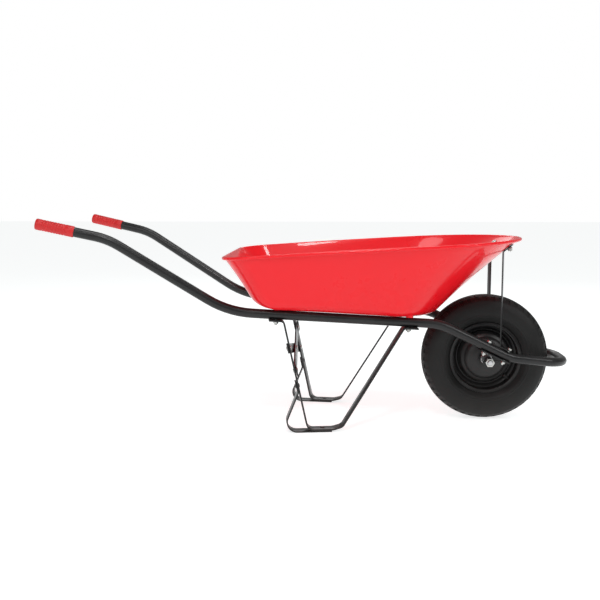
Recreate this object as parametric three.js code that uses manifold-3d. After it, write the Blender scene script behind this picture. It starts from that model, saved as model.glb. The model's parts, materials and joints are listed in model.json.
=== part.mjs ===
// A builder's wheelbarrow: a pressed steel tray on one bent tube that carries the wheel in its nose,
// with two V-shaped legs of flat bar. Millimetres, +X towards the wheel, +Z up.
// The origin lies on the ground below the middle of the overall length.

import * as THREE from "three";
import { mergeVertices } from "three/addons/utils/BufferGeometryUtils.js";
import Module from "manifold-3d";

const wasm = await Module();
wasm.setup();

// ---------------------------------------------------------------- driving dimensions

const fitGap = 0.3; // between pieces that touch
const degree = Math.PI / 180;

const wheel = {
  diameter: 390,
  width: 100,
  tyreWall: 6,
  tubeWall: 2,
  flangeRadius: 110, // edge of the rim
  flangeHalf: 36, // half the width over the rim's edges
  seatRadius: 101, // where the tyre's beads sit
  wellRadius: 88, // where the rim halves meet
  dishRadius: 80, // foot of the dished disc
  plate: 2.5, // thickness of the rim pressings
  hubRadius: 21,
  hubLength: 104,
  discHalf: 46, // half the distance between the discs at the hub
};

const bearing = { outerRadius: 17.5, innerRadius: 12, raceRadius: 14.5, width: 11, proud: 2 };
const axle = { diameter: 15, nutAcross: 24, nutHeight: 12, stickOut: 4 };

const rail = {
  diameter: 28,
  wall: 1.8,
  halfSpacing: 123.4, // from the middle to a rail, above the axle
  splay: 7.17, // degrees in plan, opening towards the handles
  noseRadius: 80,
};

// corners of one rail seen from the side: distance ahead of the axle along the rail, and height
const railCorners = {
  handle: { along: -1313, height: 613.5 },
  wrist: { along: -1118, height: 570.5, radius: 210 },
  heel: { along: -780, height: 359, radius: 280 },
  knee: { along: -156, height: 316, radius: 170 },
  toe: { along: 60.5, height: 210, radius: 150 },
  nose: { along: 236, height: 190 },
};

const grip = { length: 108, wall: 1.7, endWall: 4 };

const tray = {
  sheet: 2,
  rearBottom: -698, // where the rear wall would meet the bottom
  rearRim: -785,
  frontBottom: -163,
  frontRim: 94,
  rearHalfBottom: 236,
  rearHalfRim: 290,
  frontHalfBottom: 190,
  frontHalfRim: 303,
  frontRoundBottom: -300, // where the round front starts
  frontRoundRim: -215,
  rearCornerBottom: 50,
  rearCornerRim: 80,
  bottomRadius: 36,
  rimHeightRear: 518, // top of the rim at its rear edge
  rimRise: 0.0735, // slope of the rim there
  rimSag: 2.0e-5, // how the slope fades towards the front
  flare: 0.17, // how much the walls lean out more towards the rim
  bead: 9, // diameter of the rolled rim
  rearKick: 6, // rise of the bottom's rear edge
  kickLength: 90,
};

const flat = { width: 38, thickness: 5 }; // bar of the legs
const skidBar = { width: 38, thickness: 4 };
const braceBar = { width: 30, thickness: 4 };
const strutBar = { width: 20, thickness: 3 };

// the leg's corners in the rail's side view
const leg = {
  rearPadEnd: -662,
  rearLean: 0.2197, // how far back the rear limb goes for each mm of height
  rearFoot: -547.3, // where the rear limb's line meets the ground
  frontLean: 0.6188,
  frontFoot: -455.6,
  flatEnd: -474,
  toeRise: 7.7,
  frontPadEnd: -222,
  padRadius: 12,
  footRadius: 22,
};

const skid = {
  front: -478,
  rise: 68, // degrees, of its turned-up tail
  meetHeight: 118, // where the tail comes to lie on the leg
  topHeight: 151,
  radius: 30,
  rivetHeight: 138,
  footRivet: -505,
};

const brace = {
  upper: 250, // heights of a bar's two ends
  lower: 183,
  endLength: 24, // from a rivet to the bar's end
  bendRoom: 6, // from a leg's edge to the bend beside it
  play: 0.5,
};

const bossRadius = 11;
const trayBolt = { rear: -641, front: -249 }; // places along a rail

const bracket = {
  boltSpacing: 66,
  inner: 24, // reach of the flange towards the wheel
  outer: 14,
  webInset: 19.5, // from the rail's middle line to the web
  length: 96,
  plate: 4,
  web: 5,
  nose: 20, // radius of the web round the axle
  taper: 12,
};

const strut = {
  yaw: 18, // degrees by which it leans outwards in plan
  tab: 32,
  tabShare: 0.45, // share of the tab above its bolt
  foot: 26,
  standOff: 17,
  bend: 5,
  footLift: 1.6, // room for the flat foot over the round rail
  boltLift: 2.4, // the same at the foot's bolt
};

const bolt = { diameter: 8, across: 13, head: 5.5, nut: 6.5, stickOut: 4, play: 0.3 };
const domedHead = [[0, 0], [9, 0], [8, 2], [5, 3.6], [0, 4.2]]; // radius and height
const rivet = { diameter: 8, headDiameter: 14, head: 2.5, headEdge: 0.8, headTaper: 2, sunk: 0.4 };
const valve = { angle: 317, stemRadius: 4, capRadius: 5.5, stemEnd: 91, capEnd: 84, offset: -14 };

// ---------------------------------------------------------------- finishes

const finishes = {
  redPaint: { color: 0xd01020, roughness: 0.25, metalness: 0.1 },
  blackPaint: { color: 0x1c1c1e, roughness: 0.45, metalness: 0.2 },
  redPlastic: { color: 0xc81414, roughness: 0.5, metalness: 0 },
  rubber: { color: 0x202020, roughness: 0.8, metalness: 0 },
  zinc: { color: 0xb8bcc0, roughness: 0.35, metalness: 0.9 },
  steel: { color: 0x8c8f93, roughness: 0.4, metalness: 0.9 },
};

const barrow = new THREE.Group();

function piece(name, finish, geometry, matrix = new THREE.Matrix4()) {
  const mesh = new THREE.Mesh(geometry, new THREE.MeshStandardMaterial(finishes[finish]));
  mesh.name = name;
  mesh.applyMatrix4(matrix);
  barrow.add(mesh);
}

// ---------------------------------------------------------------- solids

function toSolid(geometry) {
  const bare = geometry.clone();
  bare.deleteAttribute("normal");
  bare.deleteAttribute("uv");
  const merged = mergeVertices(bare, 1e-3);
  const corners = Array.from(merged.index.array);
  const kept = [];
  for (let i = 0; i < corners.length; i += 3) {
    const [a, b, c] = corners.slice(i, i + 3);
    if (a !== b && b !== c && c !== a) kept.push(a, b, c);
  }
  const mesh = new wasm.Mesh({
    numProp: 3,
    vertProperties: Float32Array.from(merged.attributes.position.array),
    triVerts: Uint32Array.from(kept),
  });
  return new wasm.Manifold(mesh);
}

function toGeometry(solid) {
  const { vertProperties, triVerts } = solid.getMesh();
  const geometry = new THREE.BufferGeometry();
  geometry.setAttribute("position", new THREE.BufferAttribute(vertProperties, 3));
  geometry.setIndex(new THREE.BufferAttribute(triVerts, 1));
  geometry.computeVertexNormals();
  return geometry;
}

function cutAway(geometry, cutters) {
  let solid = toSolid(geometry);
  for (const cutter of cutters) solid = solid.subtract(toSolid(cutter));
  return toGeometry(solid);
}

function joinUp(geometries) {
  let solid = toSolid(geometries[0]);
  for (const other of geometries.slice(1)) solid = solid.add(toSolid(other));
  return toGeometry(solid);
}

// a cylinder along `direction`, centred on `middle`
function rod(middle, direction, radius, length, sides = 8) {
  const geometry = new THREE.CylinderGeometry(radius, radius, length, sides);
  const upright = new THREE.Vector3(0, 1, 0);
  const turn = new THREE.Quaternion().setFromUnitVectors(upright, direction.clone().normalize());
  return geometry.applyQuaternion(turn).translate(middle.x, middle.y, middle.z);
}

// a faceted hole's radius, so that its flats clear a shank of `radius`
function clearHole(radius, sides = 8) {
  return (radius + bolt.play) / Math.cos(Math.PI / sides);
}

function toPoint([radius, height]) {
  return new THREE.Vector2(radius, height);
}

// a turned piece about the Y axis from [radius, y] points that close on themselves
function turned(points, segments) {
  const loop = points.map(toPoint);
  if (THREE.ShapeUtils.isClockWise(loop)) loop.reverse();
  loop.push(loop[0].clone());
  return new THREE.LatheGeometry(loop, segments);
}

function ring(innerRadius, outerRadius, from, to, segments = 16) {
  const outline = [[innerRadius, from], [outerRadius, from], [outerRadius, to], [innerRadius, to]];
  return turned(outline, segments);
}

// ---------------------------------------------------------------- paths

// points along straight runs joined by arcs; a corner without a radius stays sharp
function roundedPath(corners, step = 12 * degree) {
  const points = [corners[0].at];
  for (let i = 1; i < corners.length - 1; i++) {
    const { at, radius } = corners[i];
    const back = corners[i - 1].at.clone().sub(at).normalize();
    const ahead = corners[i + 1].at.clone().sub(at).normalize();
    const turn = Math.PI - back.angleTo(ahead);
    if (!radius) {
      points.push(at);
      continue;
    }
    const start = at.clone().addScaledVector(back, radius * Math.tan(turn / 2));
    const inward = back.clone().add(ahead).normalize();
    const centre = at.clone().addScaledVector(inward, radius / Math.cos(turn / 2));
    const axis = ahead.clone().cross(back).normalize().negate();
    const count = Math.max(2, Math.round(turn / step));
    for (let k = 0; k <= count; k++) {
      const arm = start.clone().sub(centre).applyAxisAngle(axis, -(turn * k) / count);
      points.push(centre.clone().add(arm));
    }
  }
  points.push(corners.at(-1).at);
  return points;
}

// the direction of a line at one of its points, and of the stretch that leaves it
function directionAt(points, i) {
  const from = Math.max(i, 1);
  const to = Math.min(i + 1, points.length - 1);
  const before = points[from].clone().sub(points[from - 1]).normalize();
  const after = points[to].clone().sub(points[to - 1]).normalize();
  return { along: before.add(after).normalize(), after };
}

// a curve that an extrusion follows station by station, however far apart they are
class StationPath extends THREE.Curve {
  constructor(stations) {
    super();
    this.stations = stations;
  }

  getPoint(t) {
    const last = this.stations.length - 1;
    const index = Math.min(Math.floor(t * last + 1e-6), last - 1);
    return this.stations[index].clone().lerp(this.stations[index + 1], t * last - index);
  }

  getPointAt(t) {
    return this.getPoint(t);
  }

  getTangentAt(t) {
    const index = Math.round(t * (this.stations.length - 1));
    return directionAt(this.stations, index).along;
  }
}

// a bent flat bar: its side profile lies in the XZ plane, its width along Y
function bentBar(corners, bar, step = 15 * degree) {
  const places = corners.map(({ x, z, radius }) => ({ at: new THREE.Vector3(x, 0, z), radius }));
  const path = roundedPath(places, step);
  const sides = [[], []];
  path.forEach((point, i) => {
    const { along, after } = directionAt(path, i);
    const reach = bar.thickness / 2 / along.dot(after);
    const normal = new THREE.Vector3(-along.z, 0, along.x).multiplyScalar(reach);
    sides[0].push(new THREE.Vector2(point.x + normal.x, point.z + normal.z));
    sides[1].unshift(new THREE.Vector2(point.x - normal.x, point.z - normal.z));
  });
  const outline = new THREE.Shape([...sides[0], ...sides[1]]);
  const geometry = new THREE.ExtrudeGeometry(outline, { depth: bar.width, bevelEnabled: false });
  return geometry.rotateX(Math.PI / 2).translate(0, bar.width / 2, 0);
}

// ---------------------------------------------------------------- the rails' own frame

// x runs forward along a rail in plan, y to the side of it, z up, from the point beside the axle
function railFrame(side) {
  const frame = new THREE.Matrix4().makeRotationZ(-side * rail.splay * degree);
  return frame.setPosition(0, side * rail.halfSpacing, 0);
}

function railPoint(side, { along, height }) {
  return new THREE.Vector3(along, 0, height).applyMatrix4(railFrame(side));
}

// height of the rail's middle line between two of its corners
function railLine(start, end) {
  const slope = (end.height - start.height) / (end.along - start.along);
  return {
    angle: Math.atan(slope),
    height: (along) => start.height + slope * (along - start.along),
    // a point `off` mm above the line, measured square to it
    above: (along, off) => ({
      x: along - off * Math.sin(Math.atan(slope)),
      z: start.height + slope * (along - start.along) + off * Math.cos(Math.atan(slope)),
    }),
  };
}

const bed = railLine(railCorners.heel, railCorners.knee); // the stretch under the tray
const dive = railLine(railCorners.knee, railCorners.toe); // the stretch beside the wheel
const railRadius = rail.diameter / 2;
const wheelRadius = wheel.diameter / 2;

// where the square from the axle meets the diving stretch: the middle of the axle bracket
function bracketFoot() {
  const plunge = wheelRadius - dive.height(0);
  const along = plunge * Math.sin(dive.angle) * Math.cos(dive.angle);
  return { along, height: dive.height(along), drop: -plunge * Math.cos(dive.angle) };
}

const footOfBracket = bracketFoot();

// a bolt's place on a rail: its middle and its direction, square to the rail
function boltPlace(side, line, along) {
  const up = new THREE.Vector3(-Math.sin(line.angle), 0, Math.cos(line.angle));
  const frame = railFrame(side);
  return {
    at: new THREE.Vector3(along, 0, line.height(along)).applyMatrix4(frame),
    up: up.transformDirection(frame),
  };
}

function bracketBolts(side) {
  const reach = (bracket.boltSpacing / 2) * Math.cos(dive.angle);
  return [-reach, reach].map((offset) => boltPlace(side, dive, footOfBracket.along + offset));
}

function trayBolts(side) {
  return [trayBolt.rear, trayBolt.front].map((along) => boltPlace(side, bed, along));
}

function holesFor(places, diameter, length) {
  return places.map(({ at, up }) => rod(at, up, clearHole(diameter / 2), length));
}

// ---------------------------------------------------------------- frame tube and grips

function frameTube() {
  const order = ["handle", "wrist", "heel", "knee", "toe", "nose"];
  const half = (side) => order.map((key) => ({
    at: railPoint(side, railCorners[key]),
    radius: key === "nose" ? rail.noseRadius : railCorners[key].radius,
  }));
  const stations = roundedPath([...half(-1), ...half(1).reverse()]);
  const section = new THREE.Shape().absarc(0, 0, railRadius, 0, 2 * Math.PI);
  section.holes.push(new THREE.Path().absarc(0, 0, railRadius - rail.wall, 0, 2 * Math.PI, true));
  const tube = new THREE.ExtrudeGeometry(section, {
    extrudePath: new StationPath(stations),
    steps: stations.length - 1,
    curveSegments: 6,
    bevelEnabled: false,
  });
  const bolts = [-1, 1].flatMap((side) => [...trayBolts(side), ...bracketBolts(side)]);
  piece("frame_tube", "blackPaint", cutAway(tube, holesFor(bolts, bolt.diameter, 60)));
}

function handleGrip(side) {
  const { handle, wrist } = railCorners;
  const end = railPoint(side, handle);
  const inward = railPoint(side, wrist).sub(end).normalize();
  const bore = railRadius + fitGap;
  const outer = bore + grip.wall;
  const shell = new THREE.LatheGeometry(
    [
      [0, -grip.endWall - fitGap],
      [outer - 3, -grip.endWall - fitGap],
      [outer, -grip.endWall + 2],
      [outer, grip.length - grip.endWall],
      [bore, grip.length - grip.endWall],
      [bore, -fitGap],
      [0, -fitGap],
    ].map(toPoint),
    20,
  );
  const turn = new THREE.Quaternion().setFromUnitVectors(new THREE.Vector3(0, 1, 0), inward);
  shell.applyQuaternion(turn).translate(end.x, end.y, end.z);
  piece(`grip_${sideName(side)}`, "redPlastic", shell);
}

function sideName(side) {
  return side < 0 ? "right" : "left";
}

// ---------------------------------------------------------------- tray

function bottomHeight(x) {
  const along = x / Math.cos(rail.splay * degree);
  const onRails = bed.height(along) + (railRadius + fitGap) / Math.cos(bed.angle);
  const kicked = Math.max(0, tray.rearBottom + tray.kickLength - x) / tray.kickLength;
  return onRails + tray.rearKick * kicked ** 2;
}

function rimHeight(x) {
  const run = x - tray.rearRim;
  return tray.rimHeightRear + tray.rimRise * run - tray.rimSag * run ** 2;
}

const frontSteps = 10;

// the left half of an outline in plan, from the rear middle to the front middle
function halfOutline({ rear, rearHalf, corner, frontStart, frontHalf, front }) {
  const points = [];
  for (let i = 0; i < 2; i++) points.push([rear, ((rearHalf - corner) * i) / 2]);
  for (let i = 0; i <= 4; i++) {
    const angle = (Math.PI / 2) * (i / 4);
    points.push([rear + corner - corner * Math.cos(angle), rearHalf - corner + corner * Math.sin(angle)]);
  }
  const sideStart = rear + corner;
  for (let i = 1; i < 4; i++) {
    const share = i / 4;
    points.push([sideStart + (frontStart - sideStart) * share, rearHalf + (frontHalf - rearHalf) * share]);
  }
  for (let i = 0; i <= frontSteps; i++) {
    const angle = (Math.PI / 2) * (i / frontSteps);
    points.push([frontStart + (front - frontStart) * Math.sin(angle), frontHalf * Math.cos(angle)]);
  }
  return points.map(([x, y]) => new THREE.Vector2(x, y));
}

const trayFloor = halfOutline({
  rear: tray.rearBottom,
  rearHalf: tray.rearHalfBottom,
  corner: tray.rearCornerBottom,
  frontStart: tray.frontRoundBottom,
  frontHalf: tray.frontHalfBottom,
  front: tray.frontBottom,
});
const trayRim = halfOutline({
  rear: tray.rearRim,
  rearHalf: tray.rearHalfRim,
  corner: tray.rearCornerRim,
  frontStart: tray.frontRoundRim,
  frontHalf: tray.frontHalfRim,
  front: tray.frontRim,
});

// one rib of the tray's skin: from the flat bottom round the bottom radius, up the wall to the rim
function trayRib(i) {
  const floor = new THREE.Vector3(trayFloor[i].x, trayFloor[i].y, bottomHeight(trayFloor[i].x));
  const rim = new THREE.Vector3(trayRim[i].x, trayRim[i].y, rimHeight(trayRim[i].x) - tray.bead / 2);
  const wall = (share) => {
    const point = floor.clone().lerp(rim, share);
    const lag = tray.flare * (share - share ** 2);
    point.x -= lag * (rim.x - floor.x);
    point.y -= lag * (rim.y - floor.y);
    return point;
  };
  const outward = rim.clone().sub(floor).setZ(0).normalize();
  const start = floor.clone().addScaledVector(outward, -tray.bottomRadius);
  start.y = Math.max(start.y, 0);
  start.z = bottomHeight(start.x);
  const rise = floor.distanceTo(rim);
  const meet = tray.bottomRadius / rise;
  const round = new THREE.QuadraticBezierCurve3(start, floor, wall(meet)).getPoints(4);
  return { outward, points: [...round, wall(0.4), wall(0.62), wall(0.85), wall(1)] };
}

const trayRibs = trayFloor.map((_, i) => trayRib(i));

// the skin's inner side: the outer side moved square to itself by the sheet's thickness
function innerRib(rib) {
  return rib.points.map((point, k) => {
    const before = rib.points[Math.max(k - 1, 0)];
    const after = rib.points[Math.min(k + 1, rib.points.length - 1)];
    const run = after.clone().sub(before);
    const out = Math.hypot(run.x, run.y);
    const normal = rib.outward.clone().multiplyScalar(-run.z).setZ(out).normalize();
    const moved = point.clone().addScaledVector(normal, k === 0 ? 0 : tray.sheet);
    if (k === 0) moved.z += tray.sheet;
    if (point.y === 0) moved.y = 0;
    return moved;
  });
}

// the rolled rim, as a bead that stands outside the wall's top
function rimBead(rib) {
  const top = rib.points.at(-1);
  const radius = tray.bead / 2;
  return [150, 90, 30, -30, -90].map((angle) => {
    const out = radius * (1 + Math.cos(angle * degree)) - tray.sheet * 0.5;
    return top.clone().addScaledVector(rib.outward, out).setZ(top.z + radius * Math.sin(angle * degree));
  });
}

function trayShell() {
  const half = trayRibs.map((rib) => {
    return [...rib.points, ...rimBead(rib).reverse(), ...innerRib(rib).reverse()];
  });
  const toOtherSide = (loop) => loop.map((point) => point.clone().setY(-point.y));
  const loops = [...half, ...half.slice(1, -1).reverse().map(toOtherSide)];
  const triangles = [];
  const quad = (a, b, c, d) => triangles.push(a, b, c, a, c, d);
  loops.forEach((loop, i) => {
    const next = loops[(i + 1) % loops.length];
    for (let k = 0; k < loop.length - 1; k++) quad(loop[k], loop[k + 1], next[k + 1], next[k]);
  });
  const mirror = (i) => loops[(loops.length - i) % loops.length];
  for (let i = 0; i < half.length - 1; i++) {
    quad(half[i][0], half[i + 1][0], mirror(i + 1)[0], mirror(i)[0]);
    quad(mirror(i).at(-1), mirror(i + 1).at(-1), half[i + 1].at(-1), half[i].at(-1));
  }
  return new THREE.BufferGeometry().setFromPoints(triangles);
}

const traySkin = new THREE.Mesh(trayShell(), new THREE.MeshBasicMaterial({ side: THREE.DoubleSide }));
const rayStart = 20; // how far outside the skin a ray towards it starts

// a tray bolt goes through a flat round boss: how high above the rail's middle line its top lies
function bossTop({ at, up }) {
  return skinSpan(at, up, bossRadius).far + fitGap;
}

// the stretch along `direction` that the skin takes up within `radius` of a line from `start`
function skinSpan(start, direction, radius) {
  const arm = new THREE.Vector3(direction.z, 0, -direction.x).normalize().multiplyScalar(radius);
  const starts = [start.clone()];
  for (let i = 0; i < 8; i++) starts.push(arm.applyAxisAngle(direction, Math.PI / 4).clone().add(start));
  const hits = starts.map((from) => new THREE.Raycaster(from, direction).intersectObject(traySkin));
  const near = Math.min(...hits.map((hit) => hit[0].distance));
  const far = Math.max(...hits.map((hit) => hit[1].distance));
  return { near, far };
}

// the outer skin in the upright plane of a strut: its place and slope where the strut's tab lies
function traySkinAt(place, direction, row) {
  const across = new THREE.Vector3(-direction.y, direction.x, 0);
  const onSide = (rib) => rib.points[row].clone().setY(rib.points[row].y * Math.sign(place.y));
  const miss = (rib) => onSide(rib).sub(place).dot(across);
  const front = trayRibs.slice(-frontSteps - 1);
  for (let i = 0; i < front.length - 1; i++) {
    const [a, b] = [miss(front[i]), miss(front[i + 1])];
    if (a * b <= 0) return onSide(front[i]).lerp(onSide(front[i + 1]), a / (a - b));
  }
  throw new Error("the strut misses the tray's round front");
}

function trayBoss(place) {
  const low = railRadius + fitGap;
  const high = bossTop(place);
  const middle = place.at.clone().addScaledVector(place.up, (low + high) / 2);
  return rod(middle, place.up, bossRadius, high - low, 16);
}

function trayPiece() {
  const bosses = [-1, 1].flatMap((side) => trayBolts(side).map(trayBoss));
  const holes = [-1, 1].flatMap((side) => {
    const { at, normal } = strutPlan(side);
    const strutHole = rod(at, normal, clearHole(bolt.diameter / 2), 30);
    return [...holesFor(trayBolts(side), bolt.diameter, 60), strutHole];
  });
  piece("tray", "redPaint", cutAway(joinUp([trayShell(), ...bosses]), holes));
}

// ---------------------------------------------------------------- struts

// the upright plane of a strut, and where its tab lies under the tray's front
function strutPlan(side) {
  const foot = bracketBolts(side)[1];
  const out = new THREE.Vector3(Math.cos(strut.yaw * degree), side * Math.sin(strut.yaw * degree), 0);
  const rows = trayRibs[0].points.length;
  const low = traySkinAt(foot.at, out, rows - 2);
  const high = traySkinAt(foot.at, out, rows - 1);
  const slope = high.clone().sub(low).normalize();
  const across = new THREE.Vector3(-out.y, out.x, 0);
  const normal = across.clone().cross(slope).normalize();
  if (normal.z > 0) normal.negate();
  return { foot, out, slope, normal, at: low.clone().lerp(high, strut.tabShare) };
}

function frontStrut(side) {
  const { foot, out, slope, normal, at } = strutPlan(side);
  const start = at.clone().addScaledVector(normal, rayStart);
  const span = skinSpan(start, normal.clone().negate(), strutBar.width * 0.7);
  const clear = rayStart - span.near + strutBar.thickness / 2 + fitGap;
  const tabMiddle = at.clone().addScaledVector(normal, clear);
  const reach = (point) => ({ x: point.clone().sub(foot.at).dot(out), z: point.z });
  const upper = reach(tabMiddle.clone().addScaledVector(slope, strut.tab * strut.tabShare));
  const slopeIn = { x: slope.dot(out), z: slope.z };
  const uprightX = -strut.standOff;
  const bendHeight = upper.z - ((upper.x - uprightX) * slopeIn.z) / slopeIn.x;
  const tilt = Math.tan(dive.angle) * Math.cos((rail.splay + strut.yaw) * degree);
  const lift = (railRadius + strut.footLift + strutBar.thickness / 2) / Math.cos(dive.angle);
  const footLine = (x) => foot.at.z + lift + x * tilt;
  const corners = [
    { x: strut.foot / 2, z: footLine(strut.foot / 2) },
    { x: uprightX, z: footLine(uprightX), radius: strut.bend },
    { x: uprightX, z: bendHeight, radius: strut.bend },
    upper,
  ];
  const place = new THREE.Matrix4().makeRotationZ(side * strut.yaw * degree);
  place.setPosition(foot.at.x, foot.at.y, 0);
  const bar = bentBar(corners, strutBar);
  const lean = -side * Math.tan(dive.angle) * Math.sin((rail.splay + strut.yaw) * degree);
  setToSlope(bar, lean, footLine(uprightX) + 20);
  bar.applyMatrix4(place);
  const tabHole = rod(at, normal, clearHole(bolt.diameter / 2), 30);
  const holes = [...holesFor([foot], bolt.diameter, 80), tabHole];
  piece(`strut_${sideName(side)}`, "blackPaint", cutAway(bar, holes));
  const under = clear + strutBar.thickness / 2;
  const seat = at.clone().addScaledVector(normal, under);
  const stack = under + span.far - rayStart;
  fastener(`strut_bolt_${sideName(side)}`, seat, normal.clone().negate(), stack, true);
}

// tips the part of a bar below `height` sideways, so that it lies on a slope
function setToSlope(bar, lean, height) {
  const places = bar.getAttribute("position");
  for (let i = 0; i < places.count; i++) {
    if (places.getZ(i) < height) places.setZ(i, places.getZ(i) + lean * places.getY(i));
  }
}

// ---------------------------------------------------------------- bolts and nuts

function aim(direction, at) {
  const upright = new THREE.Vector3(0, 0, 1);
  const turn = new THREE.Quaternion().setFromUnitVectors(upright, direction.clone().normalize());
  return new THREE.Matrix4().makeRotationFromQuaternion(turn).setPosition(at);
}

function hexagon(across, height, hole = 0) {
  const corner = across / Math.sqrt(3);
  const points = [];
  for (let i = 0; i < 6; i++) {
    const angle = i * 60 * degree;
    points.push(new THREE.Vector2(corner * Math.cos(angle), corner * Math.sin(angle)));
  }
  const outline = new THREE.Shape(points);
  if (hole) outline.holes.push(new THREE.Path().absarc(0, 0, hole, 0, 2 * Math.PI, true));
  return new THREE.ExtrudeGeometry(outline, { depth: height, bevelEnabled: false, curveSegments: 4 });
}

// a bolt whose head's underside lies at z = 0, with its shank running down -z
function boltBody(length, domed) {
  const radius = bolt.diameter / 2;
  const shank = new THREE.CylinderGeometry(radius, radius, length + 1, 8);
  shank.rotateX(Math.PI / 2).translate(0, 0, (1 - length) / 2);
  if (!domed) return joinUp([hexagon(bolt.across, bolt.head), shank]);
  const cap = new THREE.LatheGeometry(domedHead.map(toPoint), 10);
  return joinUp([cap.rotateX(Math.PI / 2), shank]);
}

// a bolt and its nut through a stack `stack` thick; `seat` is the nut's side of the stack
function fastener(name, seat, up, stack, domed) {
  const head = seat.clone().addScaledVector(up, stack + fitGap);
  const under = seat.clone().addScaledVector(up, -fitGap - bolt.nut);
  const length = stack + 2 * fitGap + bolt.nut + bolt.stickOut;
  piece(name, "zinc", boltBody(length, domed), aim(up, head));
  const nut = hexagon(bolt.across, bolt.nut, clearHole(bolt.diameter / 2));
  piece(name.replace("bolt", "nut"), "zinc", nut, aim(up, under));
}

function trayFasteners(side) {
  ["rear", "front"].forEach((end, i) => {
    const place = trayBolts(side)[i];
    const { at, up } = place;
    const under = railRadius + fitGap + flat.thickness;
    const over = bossTop(place);
    const seat = at.clone().addScaledVector(up, -under);
    fastener(`tray_bolt_${end}_${sideName(side)}`, seat, up, under + over, true);
  });
}

function bracketFasteners(side) {
  ["rear", "front"].forEach((end, i) => {
    const { at, up } = bracketBolts(side)[i];
    const under = railRadius + fitGap + bracket.plate;
    const over = railRadius + (i === 1 ? strut.boltLift + strutBar.thickness : 0);
    const seat = at.clone().addScaledVector(up, -under);
    fastener(`axle_bolt_${end}_${sideName(side)}`, seat, up, under + over, false);
  });
}

// ---------------------------------------------------------------- legs, skids and their brace

function legCorners() {
  const off = -(railRadius + fitGap + flat.thickness / 2);
  const footHeight = skidBar.thickness + fitGap + flat.thickness / 2;
  const meet = (foot, lean) => {
    const line = bed.above(0, off);
    const slope = Math.tan(bed.angle);
    const z = (line.z + slope * (foot - line.x)) / (1 - slope * lean);
    return { x: foot + lean * z, z, radius: leg.padRadius };
  };
  const toeHeight = footHeight + leg.toeRise;
  return [
    bed.above(leg.rearPadEnd, off),
    meet(leg.rearFoot, -leg.rearLean),
    { x: leg.rearFoot - leg.rearLean * footHeight, z: footHeight, radius: leg.footRadius },
    { x: leg.flatEnd, z: footHeight, radius: 40 },
    { x: leg.frontFoot + leg.frontLean * toeHeight, z: toeHeight, radius: leg.footRadius },
    meet(leg.frontFoot, leg.frontLean),
    bed.above(leg.frontPadEnd, off),
  ];
}

// the rear limb in the rail's side view: points at a height, and the way it faces
const limb = {
  angle: Math.atan(leg.rearLean),
  at: (height) => new THREE.Vector3(leg.rearFoot - leg.rearLean * height, 0, height),
  facing: new THREE.Vector3(Math.cos(Math.atan(leg.rearLean)), 0, Math.sin(Math.atan(leg.rearLean))),
};

function limbHole(height, reach = 40) {
  return rod(limb.at(height), limb.facing, clearHole(rivet.diameter / 2), reach);
}

function footHole() {
  const foot = new THREE.Vector3(skid.footRivet, 0, 4);
  return rod(foot, new THREE.Vector3(0, 0, 1), clearHole(rivet.diameter / 2), 30);
}

function legPiece(side) {
  const toRail = railFrame(side);
  const fromRail = toRail.clone().invert();
  const boltHoles = holesFor(trayBolts(side), bolt.diameter, 60);
  boltHoles.forEach((hole) => hole.applyMatrix4(fromRail));
  const limbHoles = [skid.rivetHeight, brace.upper, brace.lower].map((height) => limbHole(height));
  const holes = [...boltHoles, ...limbHoles, footHole()];
  piece(`leg_${sideName(side)}`, "blackPaint", cutAway(bentBar(legCorners(), flat), holes), toRail);
}

function skidPiece(side) {
  const low = skidBar.thickness / 2;
  const back = (flat.thickness / 2 + fitGap + low) / Math.cos(limb.angle);
  const behind = (height) => limb.at(height).x - back;
  const rising = 1 / Math.tan(skid.rise * degree);
  const corners = [
    { x: skid.front, z: low },
    { x: behind(skid.meetHeight) - (skid.meetHeight - low) * rising, z: low, radius: skid.radius },
    { x: behind(skid.meetHeight), z: skid.meetHeight, radius: 12 },
    { x: behind(skid.topHeight), z: skid.topHeight },
  ];
  const holes = [limbHole(skid.rivetHeight), footHole()];
  piece(`skid_${sideName(side)}`, "blackPaint", cutAway(bentBar(corners, skidBar), holes), railFrame(side));
}

function rivetBody(stack, flush) {
  const radius = rivet.diameter / 2;
  const head = rivet.headDiameter / 2;
  const headOn = (seat, way) => [
    [radius, seat],
    [head, seat],
    [head, seat + way * rivet.headEdge],
    [head - rivet.headTaper, seat + way * rivet.head],
    [0, seat + way * rivet.head],
  ];
  const lower = flush ? [[0, rivet.sunk], [radius, rivet.sunk]] : headOn(0, -1).reverse();
  const profile = [...lower, ...headOn(stack, 1)].map(toPoint);
  return new THREE.LatheGeometry(profile, 8).rotateX(Math.PI / 2);
}

function skidRivets(side) {
  const frame = railFrame(side);
  const stack = flat.thickness + skidBar.thickness + 3 * fitGap;
  const depth = stack - flat.thickness / 2 - fitGap;
  const back = limb.at(skid.rivetHeight).addScaledVector(limb.facing, -depth);
  const top = aim(limb.facing, back).premultiply(frame);
  piece(`skid_rivet_top_${sideName(side)}`, "blackPaint", rivetBody(stack, false), top);
  const foot = new THREE.Matrix4().makeTranslation(skid.footRivet, 0, 0).premultiply(frame);
  piece(`skid_rivet_foot_${sideName(side)}`, "blackPaint", rivetBody(stack, true), foot);
}

// a brace bar runs from high on one leg to low on the other; `face` is +1 on the front of the legs
function braceEnds(high, face) {
  const clear = flat.thickness / 2 + fitGap + brace.play + braceBar.thickness / 2;
  const end = (side, height) => {
    const place = limb.at(height).addScaledVector(limb.facing, face * clear);
    return place.applyMatrix4(railFrame(side));
  };
  return [end(high, brace.upper), end(-high, brace.lower)];
}

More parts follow.
